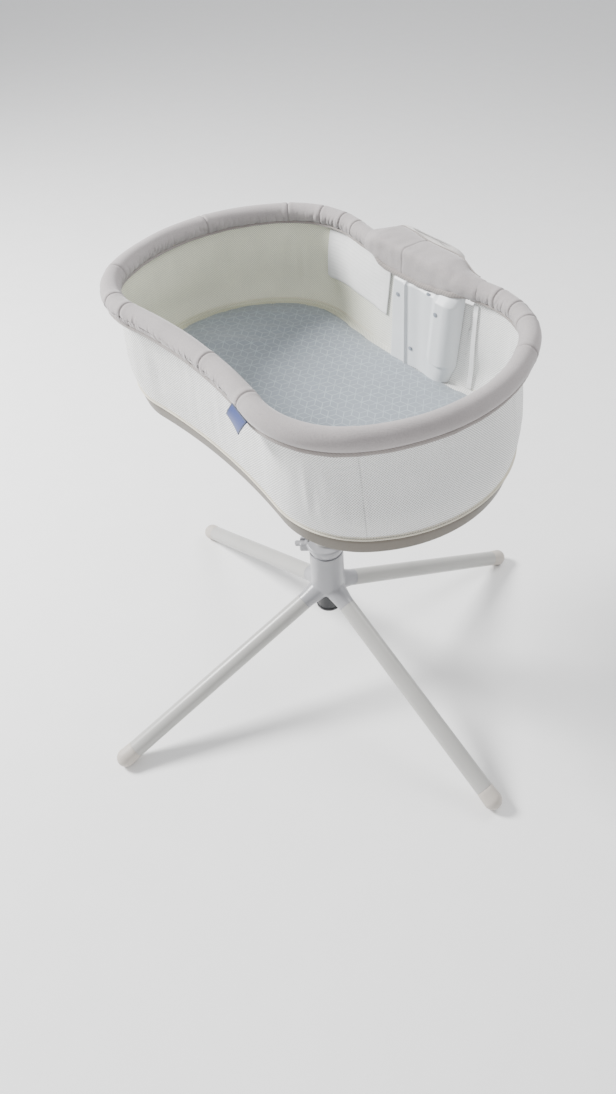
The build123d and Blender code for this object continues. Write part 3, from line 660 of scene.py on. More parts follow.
def join(*parts):
    """One bmesh from several."""
    whole = bmesh.new()
    for part in parts:
        mesh = bpy.data.meshes.new("part")
        part.to_mesh(mesh)
        part.free()
        whole.from_mesh(mesh)
        bpy.data.meshes.remove(mesh)
    return whole


def cut_flat(bm, point, outward):
    """Cuts away what lies beyond a plane and closes the cut."""
    geom = list(bm.verts) + list(bm.edges) + list(bm.faces)
    bmesh.ops.bisect_plane(bm, geom=geom, plane_co=point, plane_no=outward, clear_outer=True)
    bmesh.ops.holes_fill(bm, edges=[edge for edge in bm.edges if edge.is_boundary], sides=0)


def melted(bm, voxel, rounds, cuts=()):
    """Fuses overlapping closed shapes into one smooth moulding, then cuts it flat at planes."""
    mesh = bpy.data.meshes.new("melt")
    bm.to_mesh(mesh)
    bm.free()
    holder = bpy.data.objects.new("melt", mesh)
    bpy.context.scene.collection.objects.link(holder)
    remesh = holder.modifiers.new("Remesh", "REMESH")
    remesh.mode = "VOXEL"
    remesh.voxel_size = voxel
    relax = holder.modifiers.new("Smooth", "SMOOTH")
    relax.factor = 0.5
    relax.iterations = rounds
    apply_modifiers(holder)
    out = bmesh.new()
    out.from_mesh(holder.data)
    bpy.data.objects.remove(holder)
    for point, outward in cuts:
        cut_flat(out, point, outward)
    bmesh.ops.recalc_face_normals(out, faces=out.faces)
    return out


# ---------------------------------------------------------------- pieces of the stand
def leg_matrix(angle):
    """Places a shape drawn up +Z on a leg's axis, which slopes down from the post."""
    slope = math.atan2(LEG_ROOT_Z - FOOT_RADIUS, FOOT_REACH)
    lean = Matrix.Translation((0, 0, LEG_ROOT_Z)) @ Matrix.Rotation(math.pi / 2 + slope, 4, "Y")
    return Matrix.Rotation(math.radians(angle), 4, "Z") @ lean


def leg_length(reach):
    """Distance along a leg's axis at a reach from the post."""
    return reach / math.cos(math.atan2(LEG_ROOT_Z - FOOT_RADIUS, FOOT_REACH))


def quarter(centre, radius, start, stop, steps):
    """(along, radius) points on an arc about (centre, 0), with angles from the axis in degrees."""
    turns = [math.radians(start + (stop - start) * i / steps) for i in range(steps + 1)]
    return [(centre + radius * math.cos(turn), radius * math.sin(turn)) for turn in turns]


def make_foot_cap(number, angle):
    """Cap with a fine bevelled seam where it meets the leg, a ball end and a flat for the sole."""
    seam = leg_length(LEG_END)
    ball = leg_length(FOOT_REACH)
    profile = [(seam, 0), (seam, LEG_RADIUS - 1.3 * MM), (seam + 0.4 * MM, LEG_RADIUS - 0.5 * MM),
               (seam + 1.4 * MM, LEG_RADIUS), (seam + 9 * MM, LEG_RADIUS + 0.4 * MM)]
    profile += quarter(ball, FOOT_RADIUS, 96, 0, 16)[:-1] + [(ball + FOOT_RADIUS, 0)]
    bm = spun(profile, leg_matrix(angle), 64)
    cut_flat(bm, Vector((0, 0, SOLE_TOP)), Vector((0, 0, -1)))
    cap = piece(f"foot_cap_shell_{number}", bm, finish("cap_plastic"), "base",
                [f"foot_cap_{number}"], 40)
    return cap


def make_soles():
    """Rubber discs under the four caps, with rounded rims."""
    discs = []
    for angle in LEG_ANGLES:
        profile = [(0, 0), (0, SOLE_RADIUS - 1 * MM), (1 * MM, SOLE_RADIUS),
                   (SOLE_TOP + 0.5 * MM, SOLE_RADIUS),
                   (SOLE_TOP + 0.5 * MM, 0)]
        place = Matrix.Rotation(math.radians(angle), 4, "Z") @ Matrix.Translation((FOOT_REACH, 0, 0))
        discs.append(spun(profile, place, 48))
    return piece("foot_soles", join(*discs), finish("sole_rubber"), "base", ["foot_pads"], 40)


def carve(made, *cutters):
    """Cuts closed meshes out of a piece."""
    for cutter in cutters:
        mesh = bpy.data.meshes.new("cutter")
        cutter.to_mesh(mesh)
        cutter.free()
        tool = bpy.data.objects.new("cutter", mesh)
        bpy.context.scene.collection.objects.link(tool)
        cut = made.modifiers.new("Cut", "BOOLEAN")
        cut.operation = "DIFFERENCE"
        cut.object = tool
        apply_modifiers(made)
        bpy.data.objects.remove(tool)
    made.data.set_sharp_from_angle(angle=math.radians(50))


def make_hub():
    """Moulded hub that flows into four short arms, each cut square where its leg begins."""
    low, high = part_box("hub")
    shapes = [spun([(LEG_ROOT_Z, 0), (LEG_ROOT_Z, HUB_RADIUS), (high.z + 6 * MM, HUB_RADIUS),
                    (high.z + 6 * MM, 0)],
                   Matrix.Identity(4), 64)]
    shapes.append(spun([(LEG_ROOT_Z - HUB_RADIUS, 0)] + quarter(LEG_ROOT_Z, HUB_RADIUS, 172, 8, 24)
                       + [(LEG_ROOT_Z + HUB_RADIUS, 0)], Matrix.Identity(4), 64))
    cuts = [(Vector((0, 0, high.z)), Vector((0, 0, 1))), (Vector((0, 0, low.z + 3 * MM)), Vector((0, 0, -1)))]
    for angle in LEG_ANGLES:
        place = leg_matrix(angle)
        arm = [(0, 0), (0, LEG_RADIUS + 8 * MM), (leg_length(SOCKET_END) * 0.55, LEG_RADIUS + 4 * MM),
               (leg_length(SOCKET_END) * 0.85, LEG_RADIUS + 0.5 * MM), (leg_length(SOCKET_END), LEG_RADIUS),
               (leg_length(SOCKET_END) + 12 * MM, LEG_RADIUS), (leg_length(SOCKET_END) + 12 * MM, 0)]
        shapes.append(spun(arm, place, 48))
        outward = (place.to_3x3() @ Vector((0, 0, 1))).normalized()
        cuts.append((place @ Vector((0, 0, leg_length(SOCKET_END) - 0.4 * MM)), outward))
    bm = melted(join(*shapes), 2 * MM, 14, cuts)
    hub = piece("hub_moulding", bm, finish("hub_casting"), "base", ["hub"], 50)
    bore = SLEEVE_RADIUS + 0.1 * MM
    carve(hub, spun([(low.z - 2 * MM, 0), (low.z - 2 * MM, bore), (high.z + 2 * MM, bore),
                     (high.z + 2 * MM, 0)],
                    Matrix.Identity(4), 64))
    return hub


def make_collar():
    """Bowl-shaped collar on the hub, with the slotted pod of the height lever."""
    low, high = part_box("lock_collar")
    rim = high.z
    turn = math.radians(LEVER_ANGLE)
    bowl = [(low.z, 0), (low.z, 37 * MM), (low.z + 2 * MM, 38.5 * MM), (low.z + 12 * MM, 43 * MM),
            (low.z + 22 * MM, 46 * MM), (rim - 5 * MM, 47 * MM), (rim - 1.5 * MM, 46.5 * MM),
            (rim, 44.5 * MM), (rim, 0)]
    pod = rounded_box((20 * MM, -15 * MM, low.z + 8 * MM), (62 * MM, 15 * MM, rim), 4 * MM, turn)
    bm = melted(join(spun(bowl, Matrix.Identity(4), 64), pod), 1.3 * MM, 6)
    collar = piece("collar_moulding", bm, finish("hub_casting"), "base", ["lock_collar"], 50)
    slot = rounded_box((23 * MM, -7 * MM, low.z + 12 * MM), (72 * MM, 7 * MM, rim + 5 * MM), 0.5 * MM, turn)
    bore = spun([(low.z - 2 * MM, 0), (low.z - 2 * MM, MID_RADIUS), (rim + 2 * MM, MID_RADIUS),
                 (rim + 2 * MM, 0)],
                Matrix.Identity(4), 64)
    carve(collar, slot, bore)
    return collar


# ---------------------------------------------------------------- pieces of the tray
def ring_surface(profile, plan, stations):
    """Closed band round an outline from (outward offset, height) pairs."""
    def place(u, v):
        point, out = plan.at(u)
        offset, height = profile[round(v * (len(profile) - 1))]
        return Vector((*(point + out * offset), height))

    return surface(place, stations, len(profile) - 1, (RAIL_LENGTH, 0.1))


def rounded_profile(corners, radius, steps=4):
    """Open run of (offset, height) pairs with each inner corner rounded."""
    run = [Vector(corners[0])]
    for before, here, after in zip(corners, corners[1:], corners[2:]):
        here = Vector(here)
        reach = min(radius, (Vector(before) - here).length / 2, (Vector(after) - here).length / 2)
        start = here + (Vector(before) - here).normalized() * reach
        stop = here + (Vector(after) - here).normalized() * reach
        for i in range(steps + 1):
            t = i / steps
            run.append(start * (1 - t) ** 2 + here * 2 * t * (1 - t) + stop * t ** 2)
    run.append(Vector(corners[-1]))
    return [tuple(point) for point in run]


def make_tray():
    """Shallow moulded tray: rounded floor edge, drafted side, rolled rim and an inner lip."""
    low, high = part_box("tray")
    draft, lip, wall = 8.6 * MM, 16 * MM, 4 * MM
    corners = [(-0.09, low.z), (-draft, low.z), (0, high.z - 8 * MM), (0, high.z), (-lip, high.z),
               (-lip, high.z - wall),
               (-wall, high.z - wall), (-draft - wall, low.z + 3 * MM), (-0.09, low.z + 3 * MM)]
    bm = ring_surface(rounded_profile(corners, 6 * MM, 5), TRAY, 640)
    close_up(bm)
    return piece("tray_moulding", bm, finish("tray_plastic"), "basket", ["tray"], 35)


def ring_points(plan, offset, height, stations, ripple=0.0):
    """Points round an outline at an offset, with an optional slow ripple in height."""
    points = []
    for i in range(stations):
        point, out = plan.at(i / stations)
        lift = ripple * noise.noise(Vector((point.x, point.y, height)) * 30)
        points.append(Vector((*(point + out * offset), height + lift)))
    return points


def make_piping():
    """Corded piping on the rim of the tray, and the thinner hem cord of the wall just above it."""
    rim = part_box("tray")[1].z
    cord = tube_along(ring_points(TRAY, 1.7 * MM, rim + 1.6 * MM, 900, 0.4 * MM), 1.9 * MM, 8, True)
    hem = tube_along(ring_points(TRAY, 0.4 * MM, rim + 6.2 * MM, 900, 0.5 * MM), 1.2 * MM, 8, True)
    return piece("rim_piping", join(cord, hem), finish("piping_fabric"), "basket",
                 ["tray_piping"])


def tower_mask(point):
    """1 where the hinge tower covers the far side, easing to 0 away from it."""
    if point.y < 0:
        return 0.0
    return smooth(point.x, -0.12, -0.06) * (1 - smooth(point.x, 0.16, 0.22))


TURNED_IN = 3 / 39                  # share of the wall's cloth that is turned in over the tray's lip


def make_wall():
    """One knitted wall all the way round, from the tray to the rail, with a lining of another tone."""
    s = settings()[1]
    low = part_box("tray")[1].z - 0.6 * MM
    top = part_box("rail_padding")[0].z + 4 * MM
    under_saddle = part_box("saddle_cover")[0].z - 2 * MM

    def place(u, share):
        foot, foot_out = TRAY.at(u)
        head, head_out = RAIL.at(u)
        v = max(0.0, (share - TURNED_IN) / (1 - TURNED_IN))
        if share < TURNED_IN - 0.001:
            inset = -3 * MM - 14.5 * MM * (1 - share / TURNED_IN)
            return Vector((*(foot + foot_out * inset), low + 0.9 * MM))
        point = foot.lerp(head, v)
        out = foot_out.lerp(head_out, v).normalized()
        free = 1 - tower_mask(point)
        covered = point.y > 0 and -0.088 < point.x < 0.168
        height = low + ((under_saddle if covered else top) - low) * v
        swell = s.wall_bulge * bell(v, 0.24, 0.2) - 4 * MM * bell(v, 0.78, 0.2)
        slack = 2.2 * MM * noise.noise(Vector((point.x * 9, point.y * 9, height * 14)))
        slack += 1.6 * MM * noise.noise(Vector((point.x * 45, point.y * 45, height * 6)))
        slack += 2.5 * MM * bell(abs(point.x), 0.33, 0.06) * noise.noise(Vector((u * 160, v * 2, 3)))
        offset = -2.5 * MM + 3.5 * MM * v + free * (swell + slack * math.sin(math.pi * v))
        return Vector((*(point + out * offset), height))

    bm = surface(place, 720, 39, (RAIL_LENGTH, 0.221))
    bmesh.ops.remove_doubles(bm, verts=bm.verts, dist=0.02 * MM)
    bmesh.ops.recalc_face_normals(bm, faces=bm.faces)
    outwards = sum(face.normal.dot(Vector((face.calc_center_median().x, face.calc_center_median().y, 0)))
                   for face in bm.faces)
    if outwards < 0:
        bmesh.ops.reverse_faces(bm, faces=bm.faces)
    wall = piece("mesh_wall", bm, finish("mesh_fabric"), None,
                 ["wall_head", "wall_foot", "wall_near", "wall_far"])
    wall.data.materials.append(finish("lining_fabric"))
    cloth = wall.modifiers.new("Cloth", "SOLIDIFY")
    cloth.thickness = s.wall_thickness
    cloth.offset = -1
    cloth.material_offset = 1
    apply_modifiers(wall)
    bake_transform(wall)
    return wall


# ---------------------------------------------------------------- mattress
def make_mattress():
    """Foam pad in a fitted sheet that swells over the tray's lip, with soft folds at the head end."""
    s = settings()[1]
    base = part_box("mattress_pad")[0].z + 1 * MM
    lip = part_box("tray")[1].z
    corners = [(-0.09, base), (-20.5 * MM, base), (-20 * MM, lip - 1 * MM), (-18 * MM, lip + 1.5 * MM),
               (-5 * MM, lip + 1.6 * MM), (-4 * MM, lip + 4.5 * MM), (-26 * MM, lip + 6.5 * MM),
               (-0.09, lip + 6 * MM)]
    bm = close_up(ring_surface(rounded_profile(corners, 5 * MM, 3), TRAY, 360))
    pad = piece("fitted_mattress", bm, finish("sheet_fabric"), None, ["mattress_pad"])
    remesh = pad.modifiers.new("Remesh", "REMESH")
    remesh.mode = "VOXEL"
    remesh.voxel_size = 6.5 * MM
    relax = pad.modifiers.new("Relax", "SMOOTH")
    relax.iterations = 2
    apply_modifiers(pad)
    start = [vert.co.copy() for vert in pad.data.vertices]
    swell(pad, 4.0, 20)
    for vert, rest in zip(pad.data.vertices, start):
        push = vert.co - rest
        limit = s.sheet_rise if rest.z > lip + 3 * MM else 0.6 * MM
        if push.length > limit:
            push *= limit / push.length
        vert.co = rest + push
        if rest.z > lip + 3 * MM:
            vert.co.z += sheet_folds(vert.co)
    finer = pad.modifiers.new("Finer", "SUBSURF")
    finer.levels = finer.render_levels = 1
    apply_modifiers(pad)
    pad.data.shade_smooth()
    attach(pad, "basket")
    return pad


def swell(made, pressure, frames):
    """Inflates a closed mesh a little with the cloth solver and keeps the result."""
    cloth = made.modifiers.new("Cloth", "CLOTH")
    cloth.settings.use_pressure = True
    cloth.settings.uniform_pressure_force = pressure
    cloth.settings.effector_weights.gravity = 0
    cloth.point_cache.frame_start = 1
    cloth.point_cache.frame_end = frames
    for frame_number in range(1, frames + 1):
        bpy.context.scene.frame_set(frame_number)
    apply_modifiers(made)
    bpy.context.scene.frame_set(1)


def sheet_folds(point):
    """Height of the soft folds: one crease with a raised side at the head end, and slack everywhere."""
    slack = 1.6 * MM * noise.noise(Vector((point.x * 7, point.y * 9, 1)))
    head = smooth(-point.x, 0.10, 0.28)
    along = Vector((0.70, 0.71))
    away = Vector((point.x, point.y)) - Vector(FOLD_MIDDLE)
    run, side = away.dot(along), away.dot(Vector((-0.71, 0.70)))
    side += 5 * MM * noise.noise(Vector((run * 16, 0, 2)))
    crease = bell(run, 0.0, 0.075) * (5 * MM * smooth(side, -2 * MM,
                                                      6 * MM) * (1 - smooth(side, 10 * MM, 60 * MM)))
    ripple = noise.noise(Vector((side * 30, run * 7 + 0.3, 5)))
    return slack + crease + 3 * MM * head * (1 - min(1, abs(ripple) * 4)) ** 2


# ---------------------------------------------------------------- rail
def stretch_share(v):
    """Share of the way round at v from 0 to 1 along the open rail, backwards from the saddle's foot side."""
    start, stop = RAIL_ENDS
    return (start - v * ((start - stop) % 1.0)) % 1.0


def gather(distance, turn, where):
    """Depth of the gathers at a distance along the rail, strongest low down and missing at the foot end."""
    height = 0.45 + 0.6 * noise.noise(Vector((distance * 35, 0, 11)))
    low = 1 - smooth(math.sin(turn), height - 0.7, height + 0.25)
    zone = 1 - (smooth(where.x, 0.28, 0.34) if where.y > 0 else smooth(where.x, 0.15, 0.2))
    wander = 0.85 + 0.9 * noise.noise(Vector((distance * 9, 0, 7)))
    slant = distance + 2.5 * MM * math.sin(turn)
    wide = max(0.0, 1 - 6.5 * abs(noise.noise(Vector((slant * 52, 0.3 * turn, 2)))))
    fine = max(0.0, 1 - 5 * abs(noise.noise(Vector((slant * 115, 0.5 * turn, 9)))))
    return low * zone * min(1.0, max(0.0, wander) * (wide + 0.5 * fine))


def make_rail_cover():
    """Padded rail in a sewn cover: cross seams, gathers beside the hem and stitched puckers."""
    s = settings()[1]
    seams = [nearest_share(*seam) * RAIL_LENGTH for seam in SEAMS]
    puckers = [nearest_share(*pucker) * RAIL_LENGTH for pucker in PUCKERS]

    def place(u, v):
        share = stretch_share(v)
        point, out = RAIL.at(share)
        turn = u * TAU
        distance = share * RAIL_LENGTH
        radius = s.rail_radius
        for seam in seams:
            away = distance - seam
            radius -= s.seam_depth * bell(away, 0, 1.5 * MM) - 0.7 * MM * bell(abs(away), 7 * MM, 5 * MM)
        for pucker in puckers:
            inner = smooth(-math.cos(turn), 0.2, 0.9)
            radius -= 3.0 * MM * inner * bell(distance - pucker, 0, 5 * MM) * bell(math.sin(turn), -0.2, 0.4)
        radius -= s.gather_depth * gather(distance, turn, point)
        radius += 0.7 * MM * noise.noise(Vector((distance * 14, math.cos(turn), math.sin(turn))))
        radius -= 0.9 * MM * bell(turn, math.radians(262), 0.1)
        side = out * (radius * math.cos(turn))
        return Vector((*(point + side), RAIL_Z + radius * math.sin(turn)))

    bm = close_up(surface(place, 50, s.rail_steps, (TAU * s.rail_radius, RAIL_LENGTH)))
    rail = piece("rail_cover", bm, finish("rail_fabric"), "rail", ["rail_padding"])
    return rail


def make_rail_hems():
    """Elastic binding under the rail, outside and inside, drawn in by small gathers."""
    s = settings()[1]
    bands = []
    for side, height, drop in ((1, 5.0, 19.0), (-1, 3.0, 17.5)):
        def place(u, v, side=side, height=height, drop=drop):
            share = stretch_share(v)
            point, out = RAIL.at(share)
            distance = share * RAIL_LENGTH
            turn = u * TAU
            pinch = 0.7 * MM * noise.noise(Vector((distance * 140, side, math.sin(turn))))
            offset = side * 12.5 * MM + math.cos(turn) * (2.1 * MM + pinch)
            lift = 1.2 * MM * noise.noise(Vector((distance * 30, side * 4, 0)))
            return Vector((*(point + out * offset), RAIL_Z - drop * MM + lift + height * MM * math.sin(turn)))

        bands.append(close_up(surface(place, 10, s.rail_steps, (0.03, RAIL_LENGTH))))
    return piece("rail_hems", join(*bands), finish("binding_fabric"), "rail",
                 ["rail_binding"])


# ---------------------------------------------------------------- hinge tower
def waist_y(plan, x):
    """y of the far side of an outline at x, between its shoulders."""
    outline = RAIL if plan is RAIL_PLAN else TRAY
    centre, radius = outline.arcs[2][0], outline.arcs[2][1]
    return centre.y - math.sqrt(radius ** 2 - x ** 2)


def saddle_point(x, turn):
    """Point on the saddle: a ring round the rail at its ends that swells to a broad block between them."""
    outer = smooth(x, -0.130, -0.085) * (1 - 0.16 * smooth(x, -0.06, 0.0)) * (1 - smooth(x, 0.06, 0.182))
    inner = smooth(x, -0.108, -0.062) * (1 - smooth(x, 0.09, 0.165))
    lower = smooth(x, -0.100, -0.045) * (1 - smooth(x, 0.03, 0.13))
    centre_y = waist_y(RAIL_PLAN, x)
    ring = 22.5 * MM
    across, rise = math.cos(turn), math.sin(turn)
    reach = ring + (71 * MM - ring) * outer if across > 0 else ring + (centre_y - 0.236 - ring) * inner
    body = max(outer, inner)
    height = ring + ((29 * MM - ring) * body if rise > 0 else (35 * MM - ring) * lower)
    power = 1 - 0.5 * body
    y = centre_y + reach * math.copysign(abs(across) ** power, across)
    z = RAIL_Z + height * math.copysign(abs(rise) ** power, rise)
    return Vector((x, y, z))


def make_saddle():
    """Padded cover over the hinge, with a cross seam, an edge piping and slack dimples."""
    x_low, x_high = -0.122, 0.184

    def place(u, v):
        x = x_low + (x_high - x_low) * v
        turn = u * TAU
        point = saddle_point(x, turn)
        middle = Vector((x, waist_y(RAIL_PLAN, x), RAIL_Z))
        out = (point - middle).normalized()
        ends = bell(x, x_low, 4 * MM) + bell(x, x_high, 4 * MM)
        dip = 2.2 * MM * bell(x, -0.006, 2.2 * MM) + 1.3 * MM * ends
        slack = 1.8 * MM * noise.noise(point * 24) + 1.0 * MM * noise.noise(point * 60)
        inner_top = smooth(-math.cos(turn), 0.1, 0.7) * smooth(math.sin(turn), 0.0, 0.6)
        pull = 2.5 * MM * inner_top * bell(x, 0.105, 0.03)
        return point + out * (slack - dip - pull)

    bm = close_up(surface(place, 96, 190, (0.2, x_high - x_low)))
    cover = piece("saddle_cover_sewn", bm, finish("rail_fabric"), "basket", ["saddle_cover"])
    stand_off = Vector((0, 1, 1)) * 0.6 * MM
    edge = [saddle_point(-0.11 + 0.27 * i / 120, math.radians(38)) + stand_off for i in range(121)]
    hem = []
    for i in range(161):
        x = -0.095 + 0.262 * i / 160
        ends = max(smooth(-x, 0.070, 0.095), smooth(x, 0.125, 0.167))
        ripple = 1.5 * MM * noise.noise(Vector((x * 60, 0, 4)))
        inner = saddle_point(x, math.radians(214))
        hem.append(Vector((x, inner.y + (4 * ends - 0.8) * MM, inner.z + (5 * ends - 4) * MM + ripple)))
    binding = finish("binding_fabric")
    piece("saddle_piping", tube_along(edge, 1.7 * MM, 10), binding, "basket")
    piece("saddle_hem", tube_along(hem, 2.4 * MM, 12, squash=2.6), binding, "basket")
    return cover


def make_tower_back():
    """Pale padded cover behind the hinge: narrow at the tray, widening into a lobe behind the saddle."""
    outer_line = ((0.812, 0.262), (0.90, 0.288), (0.98, 0.312), (1.03, 0.341), (1.06, 0.353), (1.099, 0.348))
    inner_line = ((0.812, 0.2415), (0.853, 0.246), (1.036, 0.277), (1.05, 0.300), (1.092, 0.306))

    def follow(line, z):
        for (z0, y0), (z1, y1) in zip(line, line[1:]):
            if z <= z1:
                return y0 + (y1 - y0) * smooth(z, z0, z1) * 0.5 + (y1 - y0) * (z - z0) / (z1 - z0) * 0.5
        return line[-1][1]

    z_low, z_high = 0.812, 1.092

    def place(u, v):
        z = z_low + (z_high - z_low) * v
        wide = smooth(z, 0.96, 1.05)
        left, right = -0.044 - 0.080 * wide, 0.112 - 0.040 * wide
        y_in, y_out = follow(inner_line, z), follow(outer_line, z)
        close = math.sqrt(max(0.0, 1 - max(0.0, (v - 0.93) / 0.07) ** 2)) * math.sqrt(min(1.0,
                                                                                          0.25 + v / 0.02))
        turn = u * TAU
        across = math.copysign(abs(math.cos(turn)) ** 0.35, math.cos(turn))
        deep = math.copysign(abs(math.sin(turn)) ** 0.55, math.sin(turn))
        x = (left + right) / 2 + (right - left) / 2 * across * (0.35 + 0.65 * close)
        y = (y_in + y_out) / 2 + (y_out - y_in) / 2 * deep * close
        point = Vector((x, y, z))
        slack = 1.5 * MM * noise.noise(point * 18) + 0.8 * MM * noise.noise(point * 55)
        return point + Vector((0, deep, 0)) * slack

    bm = close_up(surface(place, 88, 90, (0.4, z_high - z_low)))
    back = piece("tower_back_padded", bm, finish("pale_fabric"), "basket", ["tower_back"])
    return back


def panel_y(z):
    """Face of the inner panel at a height."""
    rise = (z - PANEL_FOOT[1]) / (PANEL_HEAD[1] - PANEL_FOOT[1])
    return PANEL_FOOT[0] + rise * (PANEL_HEAD[0] - PANEL_FOOT[0])


def panel_relief(x, z):
    """y of the inner panel's surface: a sharp ridge, a soft hollow and a pocket with a curved lower edge."""
    rise = (z - PANEL_FOOT[1]) / (PANEL_HEAD[1] - PANEL_FOOT[1])
    ridge_x = 0.030 - 0.020 * rise
    ridge = -5.5 * MM * bell(x, ridge_x, 3.4 * MM) + 3.2 * MM * bell(x, ridge_x + 0.036, 0.018)
    floor = 0.891 + 0.012 * ((x - 0.118) / 0.04) ** 2
    pocket = -7 * MM * smooth(x, 0.086, 0.106) * smooth(z, floor - 1.5 * MM, floor + 3.5 * MM)
    pocket -= 2 * MM * smooth(x, 0.086, 0.106)
    sweep = -2 * MM * smooth(-x, -0.02, 0.02) * smooth(-z, -0.95, -0.87)
    lean = 0.9 * max(0.0, z - 1.030)
    return panel_y(z) + ridge + pocket + sweep + lean


def make_inner_panel():
    """Thin white moulding over the tower inside the cot, curved back to the wall at its sides."""
    low_z, high_z = PANEL_FOOT[1] + 1 * MM, PANEL_HEAD[1] + 5 * MM

    def place(u, v):
        z = low_z + (high_z + 12 * MM * smooth(u, 0.55, 0.85) - low_z) * v
        left = -0.020 - 0.010 * smooth(z, 0.86, 1.0)
        right = 0.140 + 0.012 * smooth(z, 0.855, 0.90)
        x = left + (right - left) * u
        edge = min((x - left) / 0.007, (right - x) / 0.030)
        wall = waist_y(TRAY_PLAN, x) * (1 - v) + waist_y(RAIL_PLAN, x) * v - 4 * MM
        round_off = 1 - math.sqrt(max(0.0, 1 - (1 - min(1.0, edge)) ** 2))
        y = panel_relief(x, z)
        return Vector((x, y + (wall - y) * round_off, z))

    bm = surface(place, 190, 130, (0.2, high_z - low_z))
    bmesh.ops.recalc_face_normals(bm, faces=bm.faces)
    if sum(face.normal.y for face in bm.faces) > 0:
        bmesh.ops.reverse_faces(bm, faces=bm.faces)
    panel = piece("inner_panel_moulding", bm, finish("panel_plastic"), "basket",
                  ["inner_panel"])
    wall = panel.modifiers.new("Wall", "SOLIDIFY")
    wall.thickness = 2 * MM
    wall.offset = -1
    apply_modifiers(panel)
    panel.data.set_sharp_from_angle(angle=math.radians(60))
    return panel


def make_snaps():
    """Domed snap heads on the panel, each with a rim and a dimple."""
    heads = []
    for x, z in SNAP_POINTS:
        profile = [(0, 0), (0, 4.9 * MM), (0.8 * MM, 5.1 * MM), (1.5 * MM, 4.6 * MM), (1.3 * MM, 3.6 * MM),
                   (1.9 * MM, 2.8 * MM), (2.1 * MM, 1.5 * MM), (1.6 * MM, 0)]
        place = Matrix.Translation((x, panel_relief(x, z) - 0.2 * MM,
                                    z)) @ Matrix.Rotation(math.radians(94.7), 4, "X")
        heads.append(spun(profile, place, 28))
    return piece("snap_heads", join(*heads), finish("snap_plastic"), "basket",
                 ["panel_snaps"], 50)


# ---------------------------------------------------------------- labels
def far_wall_point(x, z, off):
    """Point a little inside the lining of the far wall at x and z."""
    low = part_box("tray")[1].z
    v = (z - low) / (RAIL_Z - 16 * MM - low)
    share = nearest_far_share(x)
    foot, foot_out = TRAY.at(share)
    head, head_out = RAIL.at(share)
    out = foot_out.lerp(head_out, v).normalized()
    free = 1 - tower_mask(foot.lerp(head, v))
    swell = free * (settings()[1].wall_bulge * bell(v, 0.24, 0.2) - 4 * MM * bell(v, 0.78, 0.2))
    point = foot.lerp(head, v) + out * (-2.5 * MM + 3.5 * MM * v + swell - off)
    return Vector((*point, z))


def nearest_far_share(x):
    """Share of the way round on the far side whose outline point has this x."""
    low, high = 0.10, 0.45
    for _ in range(30):
        middle = (low + high) / 2
        if RAIL.at(middle)[0].x > x:
            low = middle
        else:
            high = middle
    return (low + high) / 2


def sewn_patch(name, spot, across, along, material, stands_for, thick):
    """Small cloth piece whose surface goes where spot(u, v) says, with its own share UV map."""
    bm = surface(spot, across, along, (1, 1))
    bmesh.ops.recalc_face_normals(bm, faces=bm.faces)
    patch = piece(name, bm, material, None, stands_for)
    patch.data.uv_layers[0].name = "Share"
    cloth = patch.modifiers.new("Cloth", "SOLIDIFY")
    cloth.thickness = thick
    cloth.offset = 0
    apply_modifiers(patch)
    return patch


def make_labels():
    """Large blank care label and the narrow tape, both sewn to the lining beside the tower."""
    def label_spot(u, v):
        z = 0.928 + 0.117 * v
        x = -0.272 + 0.222 * u
        corner = 0.020
        near_corner = max(0.0, (corner - (z - 0.928)) / corner) * max(0.0, 1 - u * 0.222 / 0.03)
        x += 0.014 * near_corner ** 2
        wave = 0.7 * MM * noise.noise(Vector((x * 30, z * 12, 1)))
        return far_wall_point(x, z, 3.6 * MM + wave)

    def tape_spot(u, v):
        z = 0.858 + 0.182 * v
        return far_wall_point(0.171 + 0.010 * u, z, 3.6 * MM + 1.2 * MM * noise.noise(Vector((0, 0, z * 40))))

    label = sewn_patch("care_label_blank", label_spot, 60, 32, finish("label_fabric"),
                       ["care_label"],
                       0.4 * MM)
    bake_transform(label)
    tape = sewn_patch("corner_tape_satin", tape_spot, 6, 60, finish("tape_fabric"),
                      ["corner_tape"],
                      0.4 * MM)
    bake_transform(tape)


def make_tab():
    """Folded woven tab sewn under the rail on the near side, leaning and curling at its free edge."""
    corners = [Vector(corner) for corner in TAB_CORNERS]

    def spot(u, v):
        top = corners[0].lerp(corners[1], u)
        foot = corners[3].lerp(corners[2], u)
        belly = 2.5 * MM * math.sin(math.pi * v) - 1.5 * MM * math.sin(math.pi * u) * v
        return top.lerp(foot, v) + Vector((0.18, -1, 0)) * belly

    tab = sewn_patch("side_tab", spot, 24, 24, finish("tab_fabric"), ["rail_tab"], 1.6 * MM)
    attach(tab, "rail")
    return tab


